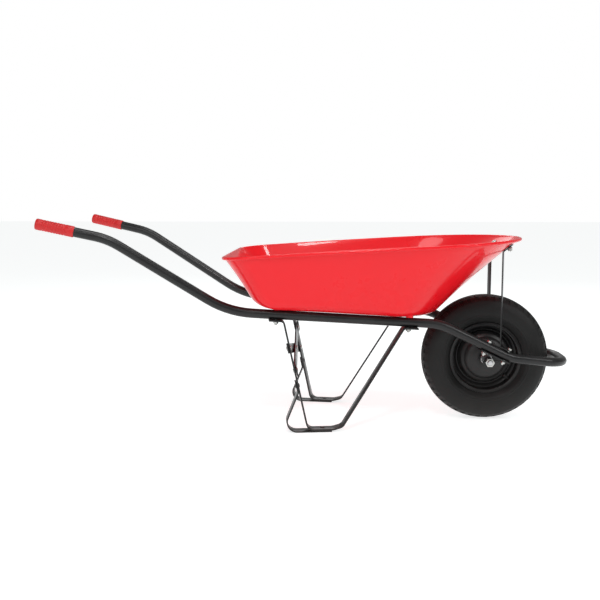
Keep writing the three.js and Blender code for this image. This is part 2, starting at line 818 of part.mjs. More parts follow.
function bracePlan(high, face) {
  const [from, to] = braceEnds(high, face);
  const along = to.clone().sub(from).normalize();
  const lean = new THREE.Vector3(-Math.sin(limb.angle), 0, Math.cos(limb.angle));
  const normal = along.clone().cross(lean).normalize();
  if (normal.x < 0) normal.negate();
  const width = normal.clone().cross(along).normalize();
  return { from, to, along, normal, width, middle: from.clone().lerp(to, 0.5) };
}

function braceCrossing() {
  const front = bracePlan(1, 1);
  const rear = bracePlan(-1, -1);
  const at = front.middle.clone().lerp(rear.middle, 0.5);
  return { at, normal: front.normal.clone().add(rear.normal).normalize() };
}

function braceHoles() {
  const { at, normal } = braceCrossing();
  const heights = [brace.upper, brace.lower];
  const ends = [-1, 1].flatMap((side) => {
    return heights.map((height) => limbHole(height).applyMatrix4(railFrame(side)));
  });
  return [...ends, rod(at, normal, clearHole(rivet.diameter / 2), 60)];
}

function bracePiece(name, high, face) {
  const { from, to, along, normal, width, middle } = bracePlan(high, face);
  const half = from.distanceTo(to) / 2;
  const inner = half - flat.width / 2 - brace.bendRoom;
  const twist = Math.tan(rail.splay * degree);
  const crossing = braceCrossing();
  const centre = crossing.at.clone().sub(middle).dot(normal) + (face * (braceBar.thickness + fitGap)) / 2;
  const bendOffset = -twist * (half - inner);
  const endOffset = twist * brace.endLength;
  const corners = [
    { x: -half - brace.endLength, z: endOffset },
    { x: -inner, z: bendOffset, radius: 25 },
    { x: 0, z: centre, radius: 60 },
    { x: inner, z: bendOffset, radius: 25 },
    { x: half + brace.endLength, z: endOffset },
  ];
  const place = new THREE.Matrix4().makeBasis(along, width, normal).setPosition(middle);
  const bar = bentBar(corners, braceBar).applyMatrix4(place);
  piece(name, "blackPaint", cutAway(bar, braceHoles()));
}

function braceRivets() {
  const thick = flat.thickness + braceBar.thickness + 3 * fitGap + 2 * brace.play;
  for (const side of [-1, 1]) {
    for (const [end, height] of [["upper", brace.upper], ["lower", brace.lower]]) {
      const inFront = (side > 0) === (end === "upper");
      const back = flat.thickness / 2 + fitGap;
      const start = limb.at(height).addScaledVector(limb.facing, inFront ? -back : back - thick);
      const place = aim(limb.facing, start).premultiply(railFrame(side));
      piece(`brace_rivet_${end}_${sideName(side)}`, "zinc", rivetBody(thick, false), place);
    }
  }
  const { at, normal } = braceCrossing();
  const pair = 2 * braceBar.thickness + 3 * fitGap;
  const back = at.clone().addScaledVector(normal, -pair / 2);
  piece("brace_rivet_middle", "zinc", rivetBody(pair, false), aim(normal, back));
}

// ---------------------------------------------------------------- axle and its brackets

function bracketFrame(side) {
  const tilt = Math.atan(Math.tan(dive.angle) / Math.cos(rail.splay * degree));
  return new THREE.Matrix4().makeRotationY(-tilt).setPosition(railPoint(side, footOfBracket));
}

const webInner = railPoint(1, footOfBracket).y - bracket.webInset;
const webOuter = webInner + bracket.web;

function axleBracket(side) {
  const frame = bracketFrame(side);
  const foot = new THREE.Vector3().setFromMatrixPosition(frame);
  const local = new THREE.Vector3(0, foot.y, wheelRadius).applyMatrix4(frame.clone().invert());
  const top = -(railRadius + fitGap);
  const half = bracket.length / 2;
  const web = new THREE.Shape();
  web.moveTo(-half + bracket.taper, top - bracket.plate / 2);
  web.absarc(local.x, local.z, bracket.nose, Math.PI + 15 * degree, 2 * Math.PI - 15 * degree);
  web.lineTo(half - bracket.taper, top - bracket.plate / 2);
  const inner = side * webInner - foot.y;
  const outer = side * webOuter - foot.y;
  const depth = bracket.web;
  const plate = new THREE.ExtrudeGeometry(web, { depth, bevelEnabled: false, curveSegments: 10 });
  plate.rotateX(Math.PI / 2).translate(0, Math.max(inner, outer), 0);
  plate.applyMatrix4(frame);
  const flange = new THREE.BoxGeometry(bracket.length, bracket.inner + bracket.outer, bracket.plate);
  flange.translate(0, (side * (bracket.outer - bracket.inner)) / 2, top - bracket.plate / 2);
  const alongRail = new THREE.Matrix4().makeRotationY(-dive.angle);
  alongRail.setPosition(footOfBracket.along, 0, footOfBracket.height).premultiply(railFrame(side));
  flange.applyMatrix4(alongRail);
  const holes = holesFor(bracketBolts(side), bolt.diameter, 80);
  const axleSpot = new THREE.Vector3(0, foot.y, wheelRadius);
  const bore = rod(axleSpot, new THREE.Vector3(0, 1, 0), clearHole(axle.diameter / 2, 20), 80, 20);
  const body = cutAway(joinUp([flange, plate]), [...holes, bore]);
  piece(`axle_bracket_${sideName(side)}`, "blackPaint", body);
}

// everything about the axle is turned about Y, then lifted to the axle's height
const hubPlace = new THREE.Matrix4().makeTranslation(0, 0, wheelRadius);

function axleRod() {
  const half = webOuter + axle.nutHeight + 2 * fitGap + axle.stickOut;
  const radius = axle.diameter / 2;
  const profile = [
    [0, -half],
    [radius - 1, -half],
    [radius, -half + 1],
    [radius, half - 1],
    [radius - 1, half],
    [0, half],
  ];
  piece("axle", "steel", new THREE.LatheGeometry(profile.map(toPoint), 20), hubPlace);
}

function alongAxle(side, from, to) {
  return [Math.min(side * from, side * to), Math.max(side * from, side * to)];
}

function axleHardware(side) {
  const bore = clearHole(axle.diameter / 2);
  const hubEnd = wheel.hubLength / 2 + bearing.proud;
  const name = sideName(side);
  const spacer = alongAxle(side, hubEnd + fitGap, webInner - fitGap);
  piece(`axle_spacer_${name}`, "blackPaint", ring(bore, axle.diameter / 2 + 4.5, ...spacer), hubPlace);
  const nut = hexagon(axle.nutAcross, axle.nutHeight, bore);
  const start = webOuter + fitGap;
  const place = aim(new THREE.Vector3(0, side, 0), new THREE.Vector3(0, side * start, wheelRadius));
  piece(`axle_nut_${name}`, "zinc", nut, place);
}

// ---------------------------------------------------------------- wheel

const wheelSides = 32;

// a line moved sideways by `distance`, kept parallel at each corner
function offsetLine(points, distance) {
  const line = points.map(toPoint);
  return line.map((point, i) => {
    const { along, after } = directionAt(line, i);
    const reach = distance / along.dot(after);
    return [point.x - along.y * reach, point.y + along.x * reach];
  });
}

// the outline of a sheet between two offsets of one line
function sheetOutline(points, from, to) {
  return [...offsetLine(points, from), ...offsetLine(points, to).reverse()];
}

function mirrored(points) {
  return points.map(([r, y]) => [r, -y]).reverse();
}

function tyre() {
  const half = wheel.width / 2;
  const seat = wheel.seatRadius + wheel.plate / 2 + fitGap;
  const inRim = wheel.flangeHalf - 1.5 - wheel.plate / 2 - fitGap;
  const side = [
    [seat, inRim - 12],
    [seat, inRim - 4],
    [seat + 4, inRim],
    [wheel.flangeRadius + 1, inRim],
    [seat + 24, half - 3],
    [seat + 40, half],
    [wheelRadius - 36, half - 1],
    [wheelRadius - 16, half - 10],
    [wheelRadius - 4, half - 28],
    [wheelRadius, half - 42],
  ];
  const outline = sheetOutline([...side, ...mirrored(side)], 0, -wheel.tyreWall);
  piece("tyre", "rubber", turned(outline, wheelSides), hubPlace);
}

// the valve's line: from the wheel's middle outwards, off to one side
const valveLine = {
  direction: new THREE.Vector3(Math.cos(valve.angle * degree), 0, Math.sin(valve.angle * degree)),
  at: (radius) => valveLine.direction.clone().multiplyScalar(radius).setY(valve.offset),
};

function valveRod(from, to, radius, sides = 8) {
  return rod(valveLine.at((from + to) / 2), valveLine.direction, radius, to - from, sides);
}

function innerTube() {
  const low = wheel.seatRadius + 7;
  const high = wheelRadius - wheel.tyreWall - 5;
  const halfHigh = (high - low) / 2;
  const halfWide = wheel.width / 2 - wheel.tyreWall - 5;
  const section = (wall) => {
    const points = [];
    for (let i = 0; i < 10; i++) {
      const angle = (i / 10) * 2 * Math.PI;
      const radius = low + halfHigh + (halfHigh - wall) * Math.cos(angle);
      points.push([radius, (halfWide - wall) * Math.sin(angle)]);
    }
    return points;
  };
  const full = toSolid(turned(section(0), 24));
  const skin = full.subtract(toSolid(turned(section(wheel.tubeWall), 24)));
  const hole = valveRod(wheel.seatRadius, wheel.seatRadius + 20, clearHole(valve.stemRadius));
  piece("inner_tube", "rubber", toGeometry(skin.subtract(toSolid(hole))), hubPlace);
}

function rimHalf(side) {
  const middle = wheel.plate / 2 + fitGap / 2;
  const line = [
    [wheel.hubRadius + fitGap, wheel.discHalf],
    [wheel.hubRadius + 14, wheel.discHalf],
    [wheel.dishRadius - 21, wheel.discHalf - 8],
    [wheel.dishRadius - 16, wheel.discHalf - 16],
    [wheel.dishRadius - 5, wheel.discHalf - 21],
    [wheel.dishRadius - 1, wheel.discHalf - 32],
    [wheel.dishRadius + 2, middle],
    [wheel.wellRadius, middle],
    [wheel.wellRadius + 4, middle + 5],
    [wheel.seatRadius, middle + 9],
    [wheel.seatRadius, wheel.flangeHalf - 4],
    [wheel.seatRadius + 3, wheel.flangeHalf - 1.5],
    [wheel.flangeRadius, wheel.flangeHalf],
  ];
  const outline = sheetOutline(line, wheel.plate / 2, -wheel.plate / 2);
  const shell = turned(side > 0 ? outline : mirrored(outline), wheelSides);
  const hole = valveRod(wheel.seatRadius - 12, wheel.seatRadius + 12, clearHole(valve.stemRadius));
  const geometry = side * valve.offset > 0 ? cutAway(shell, [hole]) : shell;
  piece(`rim_half_${sideName(side)}`, "blackPaint", geometry, hubPlace);
}

function hubTube() {
  const half = wheel.hubLength / 2;
  const seat = half - bearing.width + bearing.proud - fitGap;
  const pocket = bearing.outerRadius + fitGap;
  const outline = [
    [wheel.hubRadius, -half],
    [wheel.hubRadius, half],
    [pocket, half],
    [pocket, seat],
    [bearing.innerRadius + 3, seat],
    [bearing.innerRadius + 3, -seat],
    [pocket, -seat],
    [pocket, -half],
  ];
  piece("hub_tube", "blackPaint", turned(outline, 20), hubPlace);
}

function bearingRings(side) {
  const end = wheel.hubLength / 2 + bearing.proud;
  const reach = alongAxle(side, end - bearing.width, end);
  const name = sideName(side);
  const bore = axle.diameter / 2 + bolt.play;
  const outer = ring(bearing.raceRadius, bearing.outerRadius, ...reach, 20);
  piece(`bearing_outer_${name}`, "steel", outer, hubPlace);
  piece(`bearing_inner_${name}`, "steel", ring(bore, bearing.innerRadius, ...reach, 16), hubPlace);
}

function valveParts() {
  const stem = valveRod(valve.stemEnd, wheel.seatRadius + 11, valve.stemRadius);
  piece("valve_stem", "rubber", stem, hubPlace);
  const cap = cutAway(valveRod(valve.capEnd, valve.stemEnd + 2, valve.capRadius, 8), [
    valveRod(valve.stemEnd - fitGap, valve.stemEnd + 6, clearHole(valve.stemRadius)),
  ]);
  piece("valve_cap", "rubber", cap, hubPlace);
}

// ---------------------------------------------------------------- the whole barrow

frameTube();
trayPiece();
bracePiece("brace_bar_front", 1, 1);
bracePiece("brace_bar_rear", -1, -1);
axleRod();
for (const side of [-1, 1]) {
  handleGrip(side);
  legPiece(side);
  skidPiece(side);
  skidRivets(side);
  frontStrut(side);
  axleBracket(side);
  trayFasteners(side);
  bracketFasteners(side);
  axleHardware(side);
  rimHalf(side);
  bearingRings(side);
}
braceRivets();
hubTube();
tyre();
innerTube();
valveParts();

const whole = new THREE.Box3().setFromObject(barrow, true);
barrow.position.x = -(whole.min.x + whole.max.x) / 2;

export default barrow;
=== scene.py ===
import bpy
import json
import math
import numpy as np
from mathutils import Matrix, Vector

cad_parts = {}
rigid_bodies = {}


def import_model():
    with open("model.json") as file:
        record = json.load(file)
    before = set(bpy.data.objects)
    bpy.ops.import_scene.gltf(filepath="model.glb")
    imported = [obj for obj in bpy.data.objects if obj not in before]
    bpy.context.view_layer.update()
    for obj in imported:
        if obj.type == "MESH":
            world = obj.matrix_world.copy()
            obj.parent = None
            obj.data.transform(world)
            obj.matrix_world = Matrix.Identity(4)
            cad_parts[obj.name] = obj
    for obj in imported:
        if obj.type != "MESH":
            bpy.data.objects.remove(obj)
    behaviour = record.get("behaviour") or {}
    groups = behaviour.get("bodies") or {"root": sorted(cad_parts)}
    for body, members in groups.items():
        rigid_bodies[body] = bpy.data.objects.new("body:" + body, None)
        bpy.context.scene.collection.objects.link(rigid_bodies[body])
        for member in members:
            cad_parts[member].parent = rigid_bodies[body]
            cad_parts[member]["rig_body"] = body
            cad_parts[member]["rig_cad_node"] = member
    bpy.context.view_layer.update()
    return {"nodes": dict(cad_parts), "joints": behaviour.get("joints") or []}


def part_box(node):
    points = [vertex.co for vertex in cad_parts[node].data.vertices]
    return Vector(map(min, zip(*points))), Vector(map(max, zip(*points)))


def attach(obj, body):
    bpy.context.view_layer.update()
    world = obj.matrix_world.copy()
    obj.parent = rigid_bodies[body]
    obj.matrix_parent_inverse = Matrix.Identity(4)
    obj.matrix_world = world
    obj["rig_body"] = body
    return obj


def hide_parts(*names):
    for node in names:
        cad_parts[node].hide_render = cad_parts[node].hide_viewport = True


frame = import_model()
nodes = frame["nodes"]
sides = {"right": -1, "left": 1}
wheelJoint = next(joint for joint in frame["joints"] if joint["name"] == "wheel_spin")
axleCentre = Vector(wheelJoint["pos_m"])
fitGap = 0.0003
print("frame loaded:", len(nodes), "pieces")


# small helpers that stand for clicks in the viewport

def deselectAll():
    bpy.ops.object.select_all(action="DESELECT")


def pick(piece):
    deselectAll()
    piece.select_set(True)
    bpy.context.view_layer.objects.active = piece


def editPiece(piece):
    pick(piece)
    bpy.ops.object.mode_set(mode="EDIT")


def leaveEdit():
    bpy.ops.object.mode_set(mode="OBJECT")


def cleanMesh(piece, distance=0.00001):
    editPiece(piece)
    bpy.ops.mesh.select_all(action="SELECT")
    bpy.ops.mesh.remove_doubles(threshold=distance)
    bpy.ops.mesh.dissolve_degenerate()
    bpy.ops.mesh.normals_make_consistent(inside=False)
    leaveEdit()


def selectWhere(piece, kind, wanted):
    # selects the vertices, edges or faces for which wanted() is true; called in object mode
    editPiece(piece)
    bpy.ops.mesh.select_mode(type=kind)
    bpy.ops.mesh.select_all(action="DESELECT")
    leaveEdit()
    items = {"VERT": piece.data.vertices, "EDGE": piece.data.edges, "FACE": piece.data.polygons}[kind]
    for item in items:
        item.select = bool(wanted(item))
    bpy.ops.object.mode_set(mode="EDIT")


def applyModifier(piece, kind, **values):
    pick(piece)
    bpy.ops.object.modifier_add(type=kind)
    modifier = piece.modifiers[-1]
    for key, value in values.items():
        setattr(modifier, key, value)
    bpy.ops.object.modifier_apply(modifier=modifier.name)


def easeEdges(piece, width, degrees):
    limit = math.radians(degrees)
    applyModifier(piece, "BEVEL", width=width, segments=2, limit_method="ANGLE", angle_limit=limit)


def settle(piece):
    pick(piece)
    bpy.ops.object.transform_apply(location=True, rotation=True, scale=True)


def smooth(piece, degrees=35):
    pick(piece)
    bpy.ops.object.shade_smooth_by_angle(angle=math.radians(degrees))


def finishPiece(piece, name, material, body, slot, *replaced):
    piece.name = name
    piece.data.name = name
    piece.data.materials.clear()
    piece.data.materials.append(material)
    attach(piece, body)
    if replaced:
        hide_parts(*replaced)
    return piece


def turnedPiece(profile, steps, place=None):
    # a ring of vertices pulled to the profile (radius, y), spun about the Y axis
    bpy.ops.mesh.primitive_circle_add(vertices=len(profile), radius=0.1, location=(0, 0, 0))
    piece = bpy.context.object
    for vertex, (radius, y) in zip(piece.data.vertices, profile):
        vertex.co = (radius, y, 0)
    editPiece(piece)
    bpy.ops.mesh.select_all(action="SELECT")
    bpy.ops.mesh.spin(steps=steps, angle=2 * math.pi, center=(0, 0, 0), axis=(0, 1, 0))
    leaveEdit()
    cleanMesh(piece, 0.000005)
    piece.matrix_world = place if place is not None else Matrix.Translation(axleCentre)
    settle(piece)
    return piece


def finishPair(piece, name, material, body, slot, nodeBase):
    # the right-hand piece, and its mirrored twin for the left
    twin = piece.copy()
    twin.data = piece.data.copy()
    bpy.context.scene.collection.objects.link(twin)
    twin.matrix_world = Matrix.Scale(-1, 4, Vector((0, 1, 0)))
    settle(twin)
    editPiece(twin)
    bpy.ops.mesh.select_all(action="SELECT")
    bpy.ops.mesh.normals_make_consistent(inside=False)
    leaveEdit()
    finishPiece(piece, f"{name}Right", material, body, slot, f"{nodeBase}_right")
    finishPiece(twin, f"{name}Left", material, body, slot, f"{nodeBase}_left")


def axisOf(nodeName):
    # a round node's middle and axis, and each corner's place along the axis and distance from it
    source = nodes[nodeName]
    placed = [source.matrix_world @ vertex.co for vertex in source.data.vertices]
    spots = np.array(sorted({tuple(round(value, 6) for value in spot) for spot in placed}))
    middle = spots.mean(axis=0)
    spread, ways = np.linalg.eigh(np.cov((spots - middle).T))
    alone = 0 if spread[1] - spread[0] > spread[2] - spread[1] else 2
    axis = ways[:, alone]
    radius = np.linalg.norm(np.cross(spots - middle, axis), axis=1)
    along = (spots - middle) @ axis
    if along[radius > 0.8 * radius.max()].mean() < 0:
        axis, along = -axis, -along
    return Vector(middle), Vector(axis), along, radius


def standOn(point, axis):
    # the matrix that puts a piece turned about Y onto a point and an axis
    return Matrix.Translation(point) @ axis.to_track_quat("Y", "Z").to_matrix().to_4x4()


def offsetLine(points, distance):
    line = [Vector(point) for point in points]
    moved = []
    for i, point in enumerate(line):
        before = (line[max(i, 1)] - line[max(i, 1) - 1]).normalized()
        after = (line[min(i + 1, len(line) - 1)] - line[min(i + 1, len(line) - 1) - 1]).normalized()
        along = (before + after).normalized()
        reach = distance / along.dot(after)
        moved.append((point.x - along.y * reach, point.y + along.x * reach))
    return moved


def softLine(points, rounds=2):
    # cuts every corner of an open line, keeping its ends
    line = [Vector(point) for point in points]
    for _ in range(rounds):
        cut = [line[0]]
        for a, b in zip(line, line[1:]):
            cut += [a.lerp(b, 0.25), a.lerp(b, 0.75)]
        line = cut + [line[-1]]
    return [tuple(point) for point in line]


# camera, floor and light

view = {
    "location": (0.0737, -2.6748, 0.6946),
    "down": 6.961,
    "turn": 2.536,
    "lens": 51.57,
}
studio = {
    "floor": (0.56, 0.60, 0.60), "floorGlow": 0.74,
    "backdrop": 1.0, "skyLight": 0.33,
    "lamps": [
        {"name": "softboxTop", "at": (0.1, -0.3, 3.2), "to": (0.05, 0.0, 0.3),
         "size": (1.6, 1.0), "power": 28},
        {"name": "softboxFront", "at": (-1.5, -3.4, 2.0), "to": (0.0, 0.0, 0.35),
         "size": (1.6, 1.6), "power": 24},
        {"name": "softboxRight", "at": (2.6, -1.6, 2.0), "to": (0.3, 0.0, 0.35),
         "size": (1.0, 1.2), "power": 20},
        {"name": "softboxBack", "at": (0.4, 3.2, 2.4), "to": (0.0, 0.0, 0.4),
         "size": (2.2, 1.4), "power": 24},
    ],
    "ringLamp": {"at": (0.01, -2.05, 2.40), "to": (0.03, 0.27, 0.50), "size": 0.46, "power": 16},
}


def addCamera():
    turned = (math.radians(90 - view["down"]), 0, math.radians(view["turn"]))
    bpy.ops.object.camera_add(location=view["location"], rotation=turned)
    camera = bpy.context.object
    camera.name = "camera"
    camera.data.lens = view["lens"]
    camera.data.sensor_width = 36
    bpy.context.scene.camera = camera


def addLamp(name, location, target, power, shape, *size):
    bpy.ops.object.light_add(type="AREA", location=location)
    lamp = bpy.context.object
    lamp.name = name
    lamp.data.shape = shape
    lamp.data.size = size[0]
    if len(size) > 1:
        lamp.data.size_y = size[1]
    lamp.data.energy = power
    lamp.rotation_euler = (Vector(target) - Vector(location)).to_track_quat("-Z", "Y").to_euler()


def addBackdrop():
    # the backdrop looks brighter than the light it gives, as behind a studio table
    world = bpy.data.worlds.new("studio")
    bpy.context.scene.world = world
    world.use_nodes = True
    tree = world.node_tree
    background = tree.nodes["Background"]
    background.inputs["Color"].default_value = (1, 1, 1, 1)
    path = tree.nodes.new("ShaderNodeLightPath")
    level = tree.nodes.new("ShaderNodeMapRange")
    level.inputs["To Min"].default_value = studio["skyLight"]
    level.inputs["To Max"].default_value = studio["backdrop"]
    tree.links.new(path.outputs["Is Camera Ray"], level.inputs["Value"])
    tree.links.new(level.outputs["Result"], background.inputs["Strength"])


def addFloor():
    bpy.ops.mesh.primitive_plane_add(size=40, location=(0, 0, -0.0005))
    floor = bpy.context.object
    floor.name = "floor"
    material = bpy.data.materials.new("floorPaper")
    material.use_nodes = True
    shader = material.node_tree.nodes["Principled BSDF"]
    shader.inputs["Base Color"].default_value = (*studio["floor"], 1)
    shader.inputs["Roughness"].default_value = 0.9
    shader.inputs["Specular IOR Level"].default_value = 0.2
    shader.inputs["Emission Color"].default_value = (1, 1, 1, 1)
    shader.inputs["Emission Strength"].default_value = studio["floorGlow"]
    floor.data.materials.append(material)


def addStudio():
    addBackdrop()
    addFloor()
    for lamp in studio["lamps"]:
        addLamp(lamp["name"], lamp["at"], lamp["to"], lamp["power"], "RECTANGLE", *lamp["size"])
    ring = studio["ringLamp"]
    addLamp("roundLamp", ring["at"], ring["to"], ring["power"], "DISK", ring["size"])
    bpy.context.scene.view_settings.view_transform = "Standard"


addCamera()
addStudio()
print("camera and studio ready")


# shader groups that the finishes share

def newGroup(name, inputs, outputs):
    group = bpy.data.node_groups.new(name, "ShaderNodeTree")
    for label, kind, value in inputs:
        socket = group.interface.new_socket(label, in_out="INPUT", socket_type=kind)
        socket.default_value = value
    for label, kind in outputs:
        group.interface.new_socket(label, in_out="OUTPUT", socket_type=kind)
    entry = group.nodes.new("NodeGroupInput")
    leave = group.nodes.new("NodeGroupOutput")
    return group, entry, leave


def makeMottle():
    # two sizes of cloudy noise around a base colour, and the matching roughness
    inputs = [
        ("Colour", "NodeSocketColor", (0.5, 0.5, 0.5, 1)),
        ("Second Colour", "NodeSocketColor", (0.4, 0.4, 0.4, 1)),
        ("Amount", "NodeSocketFloat", 0.5),
        ("Scale", "NodeSocketFloat", 8.0),
        ("Roughness", "NodeSocketFloat", 0.5),
        ("Spread", "NodeSocketFloat", 0.1),
    ]
    outputs = [("Colour", "NodeSocketColor"), ("Roughness", "NodeSocketFloat")]
    group, entry, leave = newGroup("mottle", inputs, outputs)
    links = group.links
    place = group.nodes.new("ShaderNodeTexCoord")
    cloud = group.nodes.new("ShaderNodeTexNoise")
    cloud.inputs["Detail"].default_value = 5
    fine = group.nodes.new("ShaderNodeTexNoise")
    fine.inputs["Detail"].default_value = 2
    larger = group.nodes.new("ShaderNodeMath")
    larger.operation = "MULTIPLY"
    larger.inputs[1].default_value = 9
    links.new(place.outputs["Object"], cloud.inputs["Vector"])
    links.new(place.outputs["Object"], fine.inputs["Vector"])
    links.new(entry.outputs["Scale"], cloud.inputs["Scale"])
    links.new(entry.outputs["Scale"], larger.inputs[0])
    links.new(larger.outputs[0], fine.inputs["Scale"])
    both = group.nodes.new("ShaderNodeMath")
    both.operation = "MULTIPLY_ADD"
    both.inputs[1].default_value = 0.35
    links.new(fine.outputs["Fac"], both.inputs[0])
    links.new(cloud.outputs["Fac"], both.inputs[2])
    ramp = group.nodes.new("ShaderNodeMapRange")
    ramp.inputs["From Min"].default_value = 0.45
    ramp.inputs["From Max"].default_value = 0.9
    links.new(both.outputs[0], ramp.inputs["Value"])
    share = group.nodes.new("ShaderNodeMath")
    share.operation = "MULTIPLY"
    links.new(ramp.outputs["Result"], share.inputs[0])
    links.new(entry.outputs["Amount"], share.inputs[1])
    mix = group.nodes.new("ShaderNodeMix")
    mix.data_type = "RGBA"
    links.new(share.outputs[0], mix.inputs["Factor"])
    links.new(entry.outputs["Colour"], mix.inputs["A"])
    links.new(entry.outputs["Second Colour"], mix.inputs["B"])
    links.new(mix.outputs["Result"], leave.inputs["Colour"])
    rough = group.nodes.new("ShaderNodeMath")
    rough.operation = "MULTIPLY_ADD"
    links.new(ramp.outputs["Result"], rough.inputs[0])
    links.new(entry.outputs["Spread"], rough.inputs[1])
    links.new(entry.outputs["Roughness"], rough.inputs[2])
    links.new(rough.outputs[0], leave.inputs["Roughness"])
    return group


def makeDust():
    # pale dust that lies thicker near the ground
    inputs = [
        ("Colour", "NodeSocketColor", (0.5, 0.5, 0.5, 1)),
        ("Dust", "NodeSocketColor", (0.35, 0.31, 0.26, 1)),
        ("Reach", "NodeSocketFloat", 0.3),
        ("Amount", "NodeSocketFloat", 0.1),
    ]
    group, entry, leave = newGroup("dust", inputs, [("Colour", "NodeSocketColor")])
    links = group.links
    place = group.nodes.new("ShaderNodeTexCoord")
    split = group.nodes.new("ShaderNodeSeparateXYZ")
    links.new(place.outputs["Object"], split.inputs[0])
    height = group.nodes.new("ShaderNodeMapRange")
    height.inputs["To Min"].default_value = 1
    height.inputs["To Max"].default_value = 0
    links.new(split.outputs["Z"], height.inputs["Value"])
    links.new(entry.outputs["Reach"], height.inputs["From Max"])
    cloud = group.nodes.new("ShaderNodeTexNoise")
    cloud.inputs["Scale"].default_value = 28
    cloud.inputs["Detail"].default_value = 6
    links.new(place.outputs["Object"], cloud.inputs["Vector"])
    patch = group.nodes.new("ShaderNodeMath")
    patch.operation = "MULTIPLY"
    links.new(height.outputs["Result"], patch.inputs[0])
    links.new(cloud.outputs["Fac"], patch.inputs[1])
    share = group.nodes.new("ShaderNodeMath")
    share.operation = "MULTIPLY"
    links.new(patch.outputs[0], share.inputs[0])
    links.new(entry.outputs["Amount"], share.inputs[1])
    mix = group.nodes.new("ShaderNodeMix")
    mix.data_type = "RGBA"
    links.new(share.outputs[0], mix.inputs["Factor"])
    links.new(entry.outputs["Colour"], mix.inputs["A"])
    links.new(entry.outputs["Dust"], mix.inputs["B"])
    links.new(mix.outputs["Result"], leave.inputs["Colour"])
    return group


def makeGrain():
    # a bump height of soft swells and fine grain
    inputs = [
        ("Swell Scale", "NodeSocketFloat", 40.0),
        ("Grain Scale", "NodeSocketFloat", 600.0),
        ("Grain Share", "NodeSocketFloat", 0.3),
    ]
    group, entry, leave = newGroup("grain", inputs, [("Height", "NodeSocketFloat")])
    links = group.links
    place = group.nodes.new("ShaderNodeTexCoord")
    swell = group.nodes.new("ShaderNodeTexNoise")
    swell.inputs["Detail"].default_value = 1
    grain = group.nodes.new("ShaderNodeTexNoise")
    grain.inputs["Detail"].default_value = 3
    for noise, label in ((swell, "Swell Scale"), (grain, "Grain Scale")):
        links.new(place.outputs["Object"], noise.inputs["Vector"])
        links.new(entry.outputs[label], noise.inputs["Scale"])
    add = group.nodes.new("ShaderNodeMath")
    add.operation = "MULTIPLY_ADD"
    links.new(grain.outputs["Fac"], add.inputs[0])
    links.new(entry.outputs["Grain Share"], add.inputs[1])
    links.new(swell.outputs["Fac"], add.inputs[2])
    links.new(add.outputs[0], leave.inputs["Height"])
    return group


mottle = makeMottle()
dust = makeDust()
grain = makeGrain()


def makeFinish(name, values):
    material = bpy.data.materials.new(name)
    material.use_nodes = True
    tree = material.node_tree
    shader = tree.nodes["Principled BSDF"]
    for label, value in values.get("shader", {}).items():
        shader.inputs[label].default_value = value
    cloud = tree.nodes.new("ShaderNodeGroup")
    cloud.node_tree = mottle
    cloud.inputs["Colour"].default_value = (*values["colour"], 1)
    cloud.inputs["Second Colour"].default_value = (*values["second"], 1)
    cloud.inputs["Amount"].default_value = values["amount"]
    cloud.inputs["Scale"].default_value = values["scale"]
    cloud.inputs["Roughness"].default_value = values["roughness"]
    cloud.inputs["Spread"].default_value = values["spread"]
    tree.links.new(cloud.outputs["Roughness"], shader.inputs["Roughness"])
    colour = cloud.outputs["Colour"]
    if values.get("dust"):
        powder = tree.nodes.new("ShaderNodeGroup")
        powder.node_tree = dust
        powder.inputs["Amount"].default_value = values["dust"]
        powder.inputs["Reach"].default_value = values["dustReach"]
        tree.links.new(colour, powder.inputs["Colour"])
        colour = powder.outputs["Colour"]
    tree.links.new(colour, shader.inputs["Base Color"])
    texture = tree.nodes.new("ShaderNodeGroup")
    texture.node_tree = grain
    texture.inputs["Swell Scale"].default_value = values["swell"]
    texture.inputs["Grain Scale"].default_value = values["grain"]
    texture.inputs["Grain Share"].default_value = values["grainShare"]
    bump = tree.nodes.new("ShaderNodeBump")
    bump.inputs["Strength"].default_value = values["bump"]
    bump.inputs["Distance"].default_value = values["bumpDepth"]
    tree.links.new(texture.outputs["Height"], bump.inputs["Height"])
    tree.links.new(bump.outputs["Normal"], shader.inputs["Normal"])
    return material


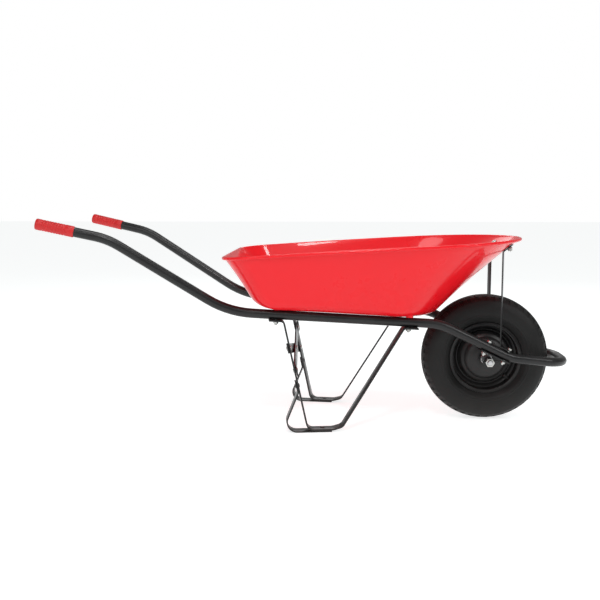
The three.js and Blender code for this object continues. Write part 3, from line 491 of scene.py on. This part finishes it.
finishes = {
    "trayEnamel": {
        "colour": (0.80, 0.006, 0.013), "second": (0.73, 0.004, 0.011), "amount": 0.3, "scale": 4,
        "roughness": 0.26, "spread": 0.05, "swell": 9, "grain": 380, "grainShare": 0.012,
        "bump": 0.10, "bumpDepth": 0.0003,
        "shader": {"Coat Weight": 0.4, "Coat Roughness": 0.03, "Specular IOR Level": 0.15},
    },
    "frameEnamel": {
        "colour": (0.006, 0.006, 0.0065), "second": (0.016, 0.016, 0.0165), "amount": 0.6, "scale": 14,
        "roughness": 0.30, "spread": 0.12, "swell": 60, "grain": 900, "grainShare": 0.5,
        "bump": 0.2, "bumpDepth": 0.0003, "dust": 0.06, "dustReach": 0.20,
        "shader": {"Coat Weight": 0.15, "Coat Roughness": 0.12, "Specular IOR Level": 0.3},
    },
    "rimEnamel": {
        "colour": (0.005, 0.005, 0.0055), "second": (0.013, 0.013, 0.0135), "amount": 0.6, "scale": 18,
        "roughness": 0.30, "spread": 0.12, "swell": 70, "grain": 900, "grainShare": 0.5,
        "bump": 0.2, "bumpDepth": 0.0003, "dust": 0.05, "dustReach": 0.3,
        "shader": {"Specular IOR Level": 0.35},
    },
    "gripPlastic": {
        "colour": (0.58, 0.006, 0.007), "second": (0.45, 0.005, 0.006), "amount": 0.5, "scale": 30,
        "roughness": 0.42, "spread": 0.12, "swell": 120, "grain": 1600, "grainShare": 0.8,
        "bump": 0.25, "bumpDepth": 0.0002,
    },
    "tyreRubber": {
        "colour": (0.005, 0.005, 0.005), "second": (0.012, 0.012, 0.0115), "amount": 0.6, "scale": 16,
        "roughness": 0.44, "spread": 0.16, "swell": 90, "grain": 1100, "grainShare": 0.9,
        "bump": 0.3, "bumpDepth": 0.0003, "dust": 0.05, "dustReach": 0.10,
        "shader": {"Specular IOR Level": 0.28},
    },
    "valveRubber": {
        "colour": (0.010, 0.010, 0.010), "second": (0.02, 0.02, 0.02), "amount": 0.5, "scale": 60,
        "roughness": 0.6, "spread": 0.1, "swell": 200, "grain": 1800, "grainShare": 0.9,
        "bump": 0.3, "bumpDepth": 0.0002,
    },
    "zincPlate": {
        "colour": (0.60, 0.61, 0.60), "second": (0.44, 0.43, 0.39), "amount": 0.7, "scale": 90,
        "roughness": 0.28, "spread": 0.22, "swell": 160, "grain": 1500, "grainShare": 0.5,
        "bump": 0.2, "bumpDepth": 0.0002, "shader": {"Metallic": 1.0},
    },
    "bearingSteel": {
        "colour": (0.58, 0.58, 0.59), "second": (0.38, 0.38, 0.39), "amount": 0.6, "scale": 120,
        "roughness": 0.2, "spread": 0.2, "swell": 200, "grain": 1800, "grainShare": 0.4,
        "bump": 0.15, "bumpDepth": 0.0002, "shader": {"Metallic": 1.0},
    },
}
finish = {name: makeFinish(name, values) for name, values in finishes.items()}
print("finishes ready:", ", ".join(finish))


# the tube that runs from one grip round the wheel to the other

rail = {
    "radius": 0.014,
    "splay": 7.17,
    "halfSpacing": 0.1234,
    "noseRadius": 0.080,
    "sides": 32,
    "bendStep": 4,
    "corners": [
        {"along": -1.313, "height": 0.6135},
        {"along": -1.118, "height": 0.5705, "radius": 0.210},
        {"along": -0.780, "height": 0.359, "radius": 0.280},
        {"along": -0.156, "height": 0.316, "radius": 0.170},
        {"along": 0.0605, "height": 0.210, "radius": 0.150},
        {"along": 0.236, "height": 0.190},
    ],
}


def railFrame(side):
    turn = Matrix.Rotation(-side * math.radians(rail["splay"]), 4, "Z")
    return Matrix.Translation((axleCentre.x, side * rail["halfSpacing"], 0)) @ turn


def railPoint(side, corner):
    return railFrame(side) @ Vector((corner["along"], 0, corner["height"]))


def selectEnd(tube, centre, reach):
    # the ring of edges that lies about a point
    def near(edge):
        return all((tube.data.vertices[v].co - centre).length < reach for v in edge.vertices)
    selectWhere(tube, "EDGE", near)


def makeFrameTube():
    corners = [(railPoint(-1, corner), corner.get("radius")) for corner in rail["corners"]]
    nose = corners[-1][0]
    corners[-1] = (nose, rail["noseRadius"])
    corners.append((Vector((nose.x, 0, nose.z)), None))
    here = corners[0][0]
    reach = rail["radius"] * 1.05
    turn = (corners[1][0] - here).to_track_quat("Z", "Y").to_euler()
    bpy.ops.mesh.primitive_circle_add(
        vertices=rail["sides"], radius=rail["radius"], location=here, rotation=turn)
    tube = bpy.context.object
    settle(tube)
    for i in range(1, len(corners)):
        point, radius = corners[i]
        goal, after = point, point
        if radius:
            back = (corners[i - 1][0] - point).normalized()
            on = (corners[i + 1][0] - point).normalized()
            angle = math.pi - back.angle(on)
            goal = point + back * radius * math.tan(angle / 2)
            after = point + on * radius * math.tan(angle / 2)
        selectEnd(tube, here, reach)
        bpy.ops.mesh.extrude_edges_move(TRANSFORM_OT_translate={"value": goal - here})
        leaveEdit()
        if radius:
            centre = point + (back + on).normalized() * radius / math.cos(angle / 2)
            axis = (-back).cross(on).normalized()
            steps = max(3, round(math.degrees(angle) / rail["bendStep"]))
            selectEnd(tube, goal, reach)
            bpy.ops.mesh.spin(steps=steps, angle=-angle, center=centre, axis=axis)
            leaveEdit()
        here = after
    cleanMesh(tube, 0.00002)
    for vertex in tube.data.vertices:
        if abs(vertex.co.y) < 0.0001:
            vertex.co.y = 0
    selectEnd(tube, corners[0][0], reach)
    bpy.ops.mesh.edge_face_add()
    leaveEdit()
    applyModifier(tube, "MIRROR", use_axis=(False, True, False), use_clip=True, merge_threshold=0.0002)
    cleanMesh(tube, 0.00002)
    smooth(tube, 50)
    finishPiece(tube, "frameTube", finish["frameEnamel"], "root", "frame_paint", "frame_tube")
    print("frame tube:", len(tube.data.polygons), "faces")


makeFrameTube()


# moulded grips with shallow rings

grip = {
    "radius": 0.016, "length": 0.108, "endWall": 0.004, "endRound": 0.004, "edge": 0.0012,
    "rings": 9, "ringDepth": 0.0007, "firstRing": 0.018, "lastRing": 0.020, "steps": 48,
}


def makeGrip(side):
    corners = rail["corners"]
    end = railPoint(side, corners[0])
    inward = (railPoint(side, corners[1]) - end).normalized()
    outer = grip["radius"]
    low = -grip["endWall"] - fitGap
    high = grip["length"] - grip["endWall"]
    bore = rail["radius"] + fitGap
    ease, edge = grip["endRound"], grip["edge"]
    wall = [(0.0, low), (outer - ease, low), (outer - edge, low + edge), (outer, low + ease)]
    first = low + grip["firstRing"]
    pitch = (high - grip["lastRing"] - first) / grip["rings"]
    for i in range(grip["rings"]):
        y = first + i * pitch
        dip = outer - grip["ringDepth"]
        wall += [(outer, y), (dip, y + 0.0010), (dip, y + 0.0028), (outer, y + 0.0038)]
    wall += [(outer, high - 0.0015), (outer - edge, high), (bore, high), (bore, high - 0.004)]
    wall += [(bore, -fitGap), (0.0, -fitGap)]
    piece = turnedPiece(wall, grip["steps"], standOn(end, inward))
    smooth(piece, 40)
    finishPair(piece, "grip", finish["gripPlastic"], "root", "grip_plastic", "grip")


makeGrip(sides["right"])
print("grips ready")


# the pressed tray: half of it as a grid bent to shape, then mirrored and given its thickness

tray = {
    "sheet": 0.002, "shownSheet": 0.0012,
    "rearBottom": -0.698, "rearRim": -0.785,
    "frontBottom": -0.163, "frontRim": 0.094,
    "rearHalfBottom": 0.236, "rearHalfRim": 0.290,
    "frontHalfBottom": 0.190, "frontHalfRim": 0.303,
    "frontRoundBottom": -0.300, "frontRoundRim": -0.215,
    "rearCornerBottom": 0.050, "rearCornerRim": 0.080,
    "bottomRadius": 0.036,
    "rimHeightRear": 0.518, "rimRise": 0.0735, "rimSag": 0.020,
    "flare": 0.17,
    "bead": 0.0075,
    "rearKick": 0.006, "kickLength": 0.090,
}
trayRows = {"rear": 5, "corner": 9, "side": 8, "front": 26, "floor": 3, "round": 6}


def railSlope():
    heel, knee = rail["corners"][2], rail["corners"][3]
    return heel, (knee["height"] - heel["height"]) / (knee["along"] - heel["along"])


def bottomHeight(x):
    heel, slope = railSlope()
    along = x / math.cos(math.radians(rail["splay"]))
    height = heel["height"] + slope * (along - heel["along"])
    height += (rail["radius"] + fitGap) / math.cos(math.atan(slope))
    kicked = max(0.0, tray["rearBottom"] + tray["kickLength"] - x) / tray["kickLength"]
    return height + tray["rearKick"] * kicked ** 2


def rimHeight(x):
    run = x - tray["rearRim"]
    return tray["rimHeightRear"] + tray["rimRise"] * run - tray["rimSag"] * run ** 2


def halfOutline(level):
    rear, front = tray[f"rear{level}"], tray[f"front{level}"]
    rearHalf, frontHalf = tray[f"rearHalf{level}"], tray[f"frontHalf{level}"]
    corner, roundStart = tray[f"rearCorner{level}"], tray[f"frontRound{level}"]
    points = [(rear, (rearHalf - corner) * i / trayRows["rear"]) for i in range(trayRows["rear"])]
    for i in range(trayRows["corner"] + 1):
        angle = math.pi / 2 * i / trayRows["corner"]
        x, y = rear + corner - corner * math.cos(angle), rearHalf - corner + corner * math.sin(angle)
        points.append((x, y))
    for i in range(1, trayRows["side"]):
        share = i / trayRows["side"]
        x = rear + corner + (roundStart - rear - corner) * share
        points.append((x, rearHalf + (frontHalf - rearHalf) * share))
    for i in range(trayRows["front"] + 1):
        angle = math.pi / 2 * i / trayRows["front"]
        points.append((roundStart + (front - roundStart) * math.sin(angle), frontHalf * math.cos(angle)))
    return points


def trayRib(floorPlan, rimPlan):
    # one line of the sheet: from the middle of the bottom, up the wall and over the rolled rim
    floor = Vector((*floorPlan, bottomHeight(floorPlan[0])))
    rim = Vector((*rimPlan, rimHeight(rimPlan[0]) - tray["bead"] / 2))
    out = Vector((rim.x - floor.x, rim.y - floor.y, 0))
    outward = out.normalized()

    def wall(share):
        return floor.lerp(rim, share) - out * tray["flare"] * (share - share ** 2)

    start = floor - outward * tray["bottomRadius"]
    start.y = max(start.y, 0)
    start.z = bottomHeight(start.x)
    meet = wall(tray["bottomRadius"] / (rim - floor).length)
    line = [Vector((start.x, start.y * i / trayRows["floor"], start.z)) for i in range(trayRows["floor"])]
    for i in range(trayRows["round"] + 1):
        t = i / trayRows["round"]
        line.append(start * (1 - t) ** 2 + floor * 2 * t * (1 - t) + meet * t ** 2)
    line += [wall(share) for share in (0.25, 0.36, 0.48, 0.60, 0.72, 0.84, 0.94)]
    radius = tray["bead"] / 2
    for degrees in (180, 150, 120, 90, 60, 30, 0, -30, -60, -90, -120, -150):
        angle = math.radians(degrees)
        reach = radius * (1 + math.cos(angle)) - tray["sheet"] / 2
        line.append(rim + outward * reach + Vector((0, 0, radius * math.sin(angle))))
    return line


bossPlan = {"radius": 0.011, "rear": -0.641, "front": -0.249}


def bedHeight(along):
    heel, slope = railSlope()
    return heel["height"] + slope * (along - heel["along"])


def trayBoss(side, end):
    # the round foot between a rail and the head of a tray bolt
    name = "right" if side < 0 else "left"
    middle, axis, along, radius = axisOf(f"tray_bolt_{end}_{name}")
    place = bossPlan[end]
    start = railFrame(side) @ Vector((place, 0, bedHeight(place)))
    head = middle + axis * float(along[radius > 0.97 * radius.max()].min())
    low, high = rail["radius"] + fitGap, (head - start).dot(axis) - fitGap
    wide, ease = bossPlan["radius"], 0.0008
    outline = [(0.0, low), (wide, low), (wide, high - ease), (wide - ease, high), (0.0, high)]
    boss = turnedPiece(outline, 40, standOn(start, axis))
    smooth(boss, 40)
    return boss


def makeTray():
    ribs = [trayRib(floor, rim) for floor, rim in zip(halfOutline("Bottom"), halfOutline("Rim"))]
    across, along = len(ribs[0]), len(ribs)
    bpy.ops.mesh.primitive_grid_add(x_subdivisions=across - 1, y_subdivisions=along - 1, size=1)
    piece = bpy.context.object
    for i in range(along):
        for k in range(across):
            point = ribs[i][k]
            piece.data.vertices[i * across + k].co = (point.x + axleCentre.x, point.y, point.z)
    for vertex in piece.data.vertices:
        vertex.co.y = max(vertex.co.y, 0)
    cleanMesh(piece, 0.0002)
    applyModifier(piece, "MIRROR", use_axis=(False, True, False), merge_threshold=0.0002)
    cleanMesh(piece, 0.0002)
    faces = piece.data.polygons
    middle = min(faces, key=lambda face: (face.center - Vector((axleCentre.x - 0.43, 0, 0.35))).length)
    if middle.normal.z > 0:
        editPiece(piece)
        bpy.ops.mesh.select_all(action="SELECT")
        bpy.ops.mesh.flip_normals()
        leaveEdit()
    applyModifier(piece, "SOLIDIFY", thickness=tray["shownSheet"], offset=-1)
    applyModifier(piece, "SUBSURF", levels=1, render_levels=1)
    smooth(piece, 60)
    bosses = [trayBoss(side, end) for side in sides.values() for end in ("rear", "front")]
    pick(piece)
    for boss in bosses:
        boss.select_set(True)
    bpy.ops.object.join()
    finishPiece(piece, "trayShell", finish["trayEnamel"], "root", "tray_paint", "tray")
    print("tray:", len(piece.data.polygons), "faces")


makeTray()


# the legs: flat bar bent into a V, and the skids under their feet

legBar = {"width": 0.038, "thickness": 0.005}
skidBar = {"width": 0.038, "thickness": 0.004}
leg = {
    "rearPadEnd": -0.662, "frontPadEnd": -0.222,
    "rearLean": 0.2197, "rearFoot": -0.5473,
    "frontLean": 0.6188, "frontFoot": -0.4556,
    "flatEnd": -0.474, "toeRise": 0.0077,
    "padRadius": 0.012, "footRadius": 0.022, "toeRadius": 0.040,
}
skid = {
    "front": -0.478, "rise": 68, "meetHeight": 0.118, "topHeight": 0.151,
    "radius": 0.030, "topRadius": 0.012,
}


def roundedPath(corners, step=6):
    # corners of x, z and radius turned into points, with an arc at each corner that has a radius
    points = [Vector(corners[0][:2])]
    for i in range(1, len(corners) - 1):
        at, radius = Vector(corners[i][:2]), corners[i][2]
        back = (Vector(corners[i - 1][:2]) - at).normalized()
        on = (Vector(corners[i + 1][:2]) - at).normalized()
        turn = math.pi - back.angle(on)
        start = at + back * radius * math.tan(turn / 2)
        centre = at + (back + on).normalized() * radius / math.cos(turn / 2)
        way = 1 if (-back).cross(on) > 0 else -1
        steps = max(3, round(math.degrees(turn) / step))
        for k in range(steps + 1):
            points.append(centre + Matrix.Rotation(way * turn * k / steps, 2) @ (start - centre))
    points.append(Vector(corners[-1][:2]))
    return points


def makeBar(corners, bar, place, edge=0.0007):
    # a strip of sheet, its end edge extruded from point to point, then thickened
    path = roundedPath(corners)
    bpy.ops.mesh.primitive_plane_add(size=1, location=(0, 0, 0))
    piece = bpy.context.object
    first, second = path[0], path[1]
    ends = [vertex.index for vertex in piece.data.vertices if vertex.co.x > 0]
    for vertex in piece.data.vertices:
        point = second if vertex.index in ends else first
        vertex.co = (point.x, math.copysign(bar["width"] / 2, vertex.co.y), point.y)
    selectWhere(piece, "EDGE", lambda line: all(v in ends for v in line.vertices))
    for a, b in zip(path[1:], path[2:]):
        bpy.ops.mesh.extrude_edges_move(TRANSFORM_OT_translate={"value": (b.x - a.x, 0, b.y - a.y)})
    leaveEdit()
    cleanMesh(piece)
    applyModifier(piece, "SOLIDIFY", thickness=bar["thickness"], offset=0, use_even_offset=True)
    easeEdges(piece, edge, 50)
    piece.matrix_world = place
    settle(piece)
    cleanMesh(piece)
    smooth(piece, 40)
    return piece


def legCorners():
    slope = railSlope()[1]
    angle = math.atan(slope)
    off = -(rail["radius"] + fitGap + legBar["thickness"] / 2)
    foot = skidBar["thickness"] + fitGap + legBar["thickness"] / 2
    toe = foot + leg["toeRise"]

    def under(along):
        return along - off * math.sin(angle), bedHeight(along) + off * math.cos(angle), 0

    def meet(start, lean):
        x, z, _ = under(0)
        height = (z + slope * (start - x)) / (1 - slope * lean)
        return start + lean * height, height, leg["padRadius"]

    return [
        under(leg["rearPadEnd"]),
        meet(leg["rearFoot"], -leg["rearLean"]),
        (leg["rearFoot"] - leg["rearLean"] * foot, foot, leg["footRadius"]),
        (leg["flatEnd"], foot, leg["toeRadius"]),
        (leg["frontFoot"] + leg["frontLean"] * toe, toe, leg["footRadius"]),
        meet(leg["frontFoot"], leg["frontLean"]),
        under(leg["frontPadEnd"]),
    ]


def skidCorners():
    low = skidBar["thickness"] / 2
    back = (legBar["thickness"] / 2 + fitGap + low) / math.cos(math.atan(leg["rearLean"]))

    def behind(height):
        return leg["rearFoot"] - leg["rearLean"] * height - back

    rising = 1 / math.tan(math.radians(skid["rise"]))
    meet = skid["meetHeight"]
    return [
        (skid["front"], low, 0),
        (behind(meet) - (meet - low) * rising, low, skid["radius"]),
        (behind(meet), meet, skid["topRadius"]),
        (behind(skid["topHeight"]), skid["topHeight"], 0),
    ]


legPiece = makeBar(legCorners(), legBar, railFrame(sides["right"]))
finishPair(legPiece, "leg", finish["frameEnamel"], "root", "frame_paint", "leg")
skidPiece = makeBar(skidCorners(), skidBar, railFrame(sides["right"]))
finishPair(skidPiece, "skid", finish["frameEnamel"], "root", "frame_paint", "skid")
print("legs and skids ready")


# brackets, struts, brace bars, nuts and hexagon bolts with their edges eased

easedPieces = {
    "frameEnamel": {"pairs": ["axle_bracket", "strut"], "edge": 0.0007, "slot": "frame_paint"},
    "zincPlate": {
        "pairs": ["tray_nut_rear", "tray_nut_front", "axle_nut_rear", "axle_nut_front", "axle_nut",
                  "strut_nut", "axle_bolt_rear", "axle_bolt_front"],
        "edge": 0.0005, "slot": "zinc",
    },
}


def plainName(nodeName):
    first, *rest = nodeName.split("_")
    return first + "".join(word.capitalize() for word in rest)


def easedCopy(nodeName, edge):
    source = nodes[nodeName]
    piece = source.copy()
    piece.data = source.data.copy()
    bpy.context.scene.collection.objects.link(piece)
    piece.parent = None
    piece.matrix_world = source.matrix_world.copy()
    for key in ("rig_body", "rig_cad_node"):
        if key in piece:
            del piece[key]
    settle(piece)
    editPiece(piece)
    bpy.ops.mesh.select_all(action="SELECT")
    bpy.ops.mesh.remove_doubles(threshold=0.00001)
    bpy.ops.mesh.dissolve_limited(angle_limit=math.radians(2))
    bpy.ops.mesh.normals_make_consistent(inside=False)
    leaveEdit()
    easeEdges(piece, edge, 40)
    smooth(piece, 40)
    return piece


for material, values in easedPieces.items():
    for base in values["pairs"]:
        piece = easedCopy(f"{base}_right", values["edge"])
        finishPair(piece, plainName(base), finish[material], "root", values["slot"], base)
for end in ("front", "rear"):
    piece = easedCopy(f"brace_bar_{end}", 0.0007)
    name = f"braceBar{end.capitalize()}"
    finishPiece(piece, name, finish["frameEnamel"], "root", "frame_paint", f"brace_bar_{end}")
print("brackets, struts, brace bars and nuts ready")


# mushroom-headed bolts and rivets, turned on the axis of the node they stand for

boltHead = [
    (0.0089, 0.0), (0.0084, 0.0011), (0.0070, 0.0024), (0.0050, 0.0036), (0.0026, 0.0042), (0.0, 0.0043),
]
rivetHead = [
    (0.0070, 0.0), (0.0067, 0.0008), (0.0058, 0.0015), (0.0042, 0.0021), (0.0022, 0.0024), (0.0, 0.0025),
]
shankRadius = 0.004
thread = {"pitch": 0.00125, "depth": 0.0004, "turns": 8}
boltSteps = 28


def threadedEnd(radius, end, values):
    # the profile of a shank's tip: a chamfer, then rings that read as a thread
    line = [(0.0, end), (radius - 2 * values["depth"], end), (radius, end + 2 * values["depth"])]
    for i in range(values["turns"]):
        y = end + 2 * values["depth"] + values["pitch"] * (i + 0.5)
        line += [(radius - values["depth"], y), (radius, y + values["pitch"] / 2)]
    return line


def makeDomedBolt(nodeName):
    middle, axis, along, radius = axisOf(nodeName)
    seat = float(along[radius > 0.97 * radius.max()].min())
    tip = float(along.min()) - seat
    profile = threadedEnd(shankRadius, tip, thread) + [(shankRadius, 0.0)] + boltHead
    piece = turnedPiece(profile, boltSteps, standOn(middle + axis * seat, axis))
    smooth(piece, 35)
    return piece


def makeRivet(nodeName):
    middle, axis, along, radius = axisOf(nodeName)
    rims = along[radius > 0.97 * radius.max()]
    top = float(rims[rims > along.mean()].min())
    profile = [(shankRadius, top)] + [(r, top + y) for r, y in rivetHead]
    lowRims = rims[rims < 0]
    if len(lowRims) > 0:
        base = float(lowRims.max())
        profile = [(r, base - y) for r, y in reversed(rivetHead)] + [(shankRadius, base)] + profile
    else:
        base = float(along.min())
        profile = [(0.0, base), (shankRadius, base)] + profile
    piece = turnedPiece(profile, boltSteps, standOn(middle, axis))
    smooth(piece, 35)
    return piece


for base in ("tray_bolt_rear", "tray_bolt_front", "strut_bolt"):
    bolt = makeDomedBolt(f"{base}_right")
    finishPair(bolt, plainName(base), finish["zincPlate"], "root", "zinc", base)
for base in ("skid_rivet_top", "skid_rivet_foot"):
    rivet = makeRivet(f"{base}_right")
    finishPair(rivet, plainName(base), finish["frameEnamel"], "root", "frame_paint", base)
for nodeName in ("brace_rivet_upper_right", "brace_rivet_upper_left", "brace_rivet_lower_right",
                 "brace_rivet_lower_left", "brace_rivet_middle"):
    finishPiece(makeRivet(nodeName), plainName(nodeName), finish["zincPlate"], "root", "zinc", nodeName)
print("bolts and rivets ready")


# the wheel: tyre with ribs and shoulder lugs, two pressed rim halves, hub, bearings and valve

tyre = {
    "wall": 0.006, "steps": 96,
    "sidewall": [
        (0.10255, 0.02095), (0.10255, 0.02895), (0.10655, 0.03295), (0.1110, 0.03295), (0.1180, 0.0395),
        (0.1262, 0.0466), (0.1302, 0.0476), (0.1312, 0.0489), (0.1345, 0.0494), (0.1356, 0.0484),
        (0.1430, 0.0497), (0.1590, 0.0489), (0.1700, 0.0448), (0.1780, 0.0404),
    ],
    "crown": [
        (0.1790, 0.0396), (0.1850, 0.0320), (0.1903, 0.0240), (0.1915, 0.0196), (0.1882, 0.0190),
        (0.1885, 0.0158), (0.1924, 0.0150), (0.1942, 0.0100), (0.1949, 0.0036), (0.1912, 0.0028),
    ],
    "inside": [
        (0.10255, 0.02095), (0.10255, 0.02895), (0.10655, 0.03295), (0.1110, 0.03295), (0.12655, 0.047),
        (0.14255, 0.050), (0.159, 0.049), (0.179, 0.040), (0.191, 0.022), (0.195, 0.008),
    ],
    "lugEdge": 0.0005, "lugDepth": 0.0018, "lugBand": (0.0235, 0.040), "lugSlant": 0.7,
}
rim = {
    "sheet": 0.0025, "steps": 96,
    "line": [
        (0.0213, 0.046), (0.035, 0.046), (0.059, 0.038), (0.064, 0.030), (0.075, 0.025), (0.079, 0.014),
        (0.082, 0.0014), (0.088, 0.0014), (0.092, 0.0064), (0.101, 0.0104), (0.101, 0.032),
        (0.104, 0.0345), (0.110, 0.036),
    ],
}
hub = {
    "radius": 0.021, "half": 0.052, "pocket": 0.0178, "seat": 0.0427, "throat": 0.015,
    "ease": 0.0005, "steps": 64,
}
bearingSides = 64
bearingOuter = [
    (0.0175, 0.043), (0.0175, 0.0535), (0.0170, 0.0540), (0.0150, 0.0540), (0.0147, 0.0534),
    (0.0126, 0.0532), (0.0126, 0.0526), (0.0145, 0.0526), (0.0145, 0.043),
]
bearingInner = [
    (0.0078, 0.043), (0.0120, 0.043), (0.0120, 0.0536),
    (0.0116, 0.0540), (0.0082, 0.0540), (0.0078, 0.0536),
]
axle = {"radius": 0.0075, "half": 0.1233, "thread": {"pitch": 0.0015, "depth": 0.0005, "turns": 12}}
spacer = {"bore": 0.0084, "radius": 0.012, "ease": 0.0006}
valve = {
    "angle": 317, "offset": -0.014, "steps": 32,
    "stem": (0.091, 0.112), "stemRadius": 0.004,
    "cap": (0.084, 0.093), "capRadius": 0.0055, "capRings": 4,
}


def flipped(profile):
    return [(radius, -y) for radius, y in reversed(profile)]


def makeTyre():
    outer = softLine(tyre["sidewall"], 2) + tyre["crown"]
    inside = tyre["inside"] + flipped(tyre["inside"])
    inner = offsetLine(inside, -tyre["wall"])
    profile = outer + flipped(outer) + list(reversed(inner))
    piece = turnedPiece(profile, tyre["steps"])

    def onShoulder(face):
        arm = face.center - axleCentre
        radius, y = math.hypot(arm.x, arm.z), abs(arm.y)
        sector = int((math.degrees(math.atan2(arm.z, arm.x)) % 360) / (360 / tyre["steps"]))
        outside = radius > 0.1903 - (y - 0.024) * 0.72 - 0.002
        nearest, farthest = tyre["lugBand"]
        return nearest < y < farthest and outside and (sector + (arm.y > 0)) % 2 == 0

    selectWhere(piece, "FACE", onShoulder)
    bpy.ops.mesh.inset(thickness=tyre["lugEdge"], use_even_offset=True)
    leaveEdit()
    for vertex in piece.data.vertices:
        if vertex.select:
            arm = vertex.co - axleCentre
            away = Vector((arm.x, 0, arm.z)).normalized()
            way = (away + Vector((0, math.copysign(tyre["lugSlant"], arm.y), 0))).normalized()
            vertex.co -= way * tyre["lugDepth"]
    smooth(piece, 32)
    finishPiece(piece, "tyre", finish["tyreRubber"], "wheel", "tyre_rubber", "tyre")
    print("tyre:", len(piece.data.polygons), "faces")


def makeRim():
    line = softLine(rim["line"], 1)
    half = rim["sheet"] / 2
    profile = offsetLine(line, half) + list(reversed(offsetLine(line, -half)))
    piece = turnedPiece([(radius, -y) for radius, y in profile], rim["steps"])
    smooth(piece, 40)
    finishPair(piece, "rimHalf", finish["rimEnamel"], "wheel", "frame_paint", "rim_half")


def makeHub():
    ease = hub["ease"]
    half = [
        (hub["throat"], hub["seat"]), (hub["pocket"], hub["seat"]),
        (hub["pocket"], hub["half"] - ease), (hub["pocket"] + ease, hub["half"]),
        (hub["radius"] - ease, hub["half"]), (hub["radius"], hub["half"] - ease),
    ]
    piece = turnedPiece(half + flipped(half), hub["steps"])
    smooth(piece, 40)
    finishPiece(piece, "hubTube", finish["rimEnamel"], "wheel", "frame_paint", "hub_tube")


def makeBearings():
    for name, body, profile in (("outer", "wheel", bearingOuter), ("inner", "root", bearingInner)):
        piece = turnedPiece(flipped(profile), bearingSides)
        smooth(piece, 30)
        steel = finish["bearingSteel"]
        finishPair(piece, f"bearing{name.capitalize()}", steel, body, "bright_steel", f"bearing_{name}")


def makeAxle():
    half = threadedEnd(axle["radius"], -axle["half"], axle["thread"])
    piece = turnedPiece(half + flipped(half), 40)
    smooth(piece, 35)
    finishPiece(piece, "axle", finish["bearingSteel"], "root", "bright_steel", "axle")
    low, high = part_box("axle_spacer_right")
    ease, wide = spacer["ease"], spacer["radius"]
    profile = [
        (spacer["bore"], low.y), (wide - ease, low.y), (wide, low.y + ease), (wide, high.y - ease),
        (wide - ease, high.y), (spacer["bore"], high.y),
    ]
    piece = turnedPiece(profile, 40)
    smooth(piece, 35)
    finishPair(piece, "axleSpacer", finish["frameEnamel"], "root", "frame_paint", "axle_spacer")


def makeValve():
    turn = math.radians(valve["angle"])
    direction = Vector((math.cos(turn), 0, math.sin(turn)))
    place = standOn(axleCentre + Vector((0, valve["offset"], 0)), direction)
    low, high = valve["stem"]
    wide, ease = valve["stemRadius"], 0.0004
    line = [(0.0, low), (wide - ease, low), (wide, low + ease), (wide, high), (0.0, high)]
    stem = turnedPiece(line, valve["steps"], place)
    smooth(stem, 35)
    finishPiece(stem, "valveStem", finish["valveRubber"], "wheel", "soft_rubber", "valve_stem")
    low, high = valve["cap"]
    line = [(0.0, low), (0.0040, low), (0.0052, low + 0.0010)]
    wide = valve["capRadius"]
    for i in range(valve["capRings"]):
        y = low + 0.0016 + 0.0015 * i
        line += [(wide, y), (wide, y + 0.0008), (wide - 0.0004, y + 0.0011)]
    line += [(wide, high), (0.0043, high), (0.0043, low + 0.0068), (0.0, low + 0.0068)]
    cap = turnedPiece(line, valve["steps"], place)
    smooth(cap, 30)
    finishPiece(cap, "valveCap", finish["valveRubber"], "wheel", "soft_rubber", "valve_cap")


makeTyre()
makeRim()
makeHub()
makeBearings()
makeAxle()
makeValve()
innerTube = nodes["inner_tube"]
innerTube.data.materials.clear()
innerTube.data.materials.append(finish["valveRubber"])
print("wheel ready")
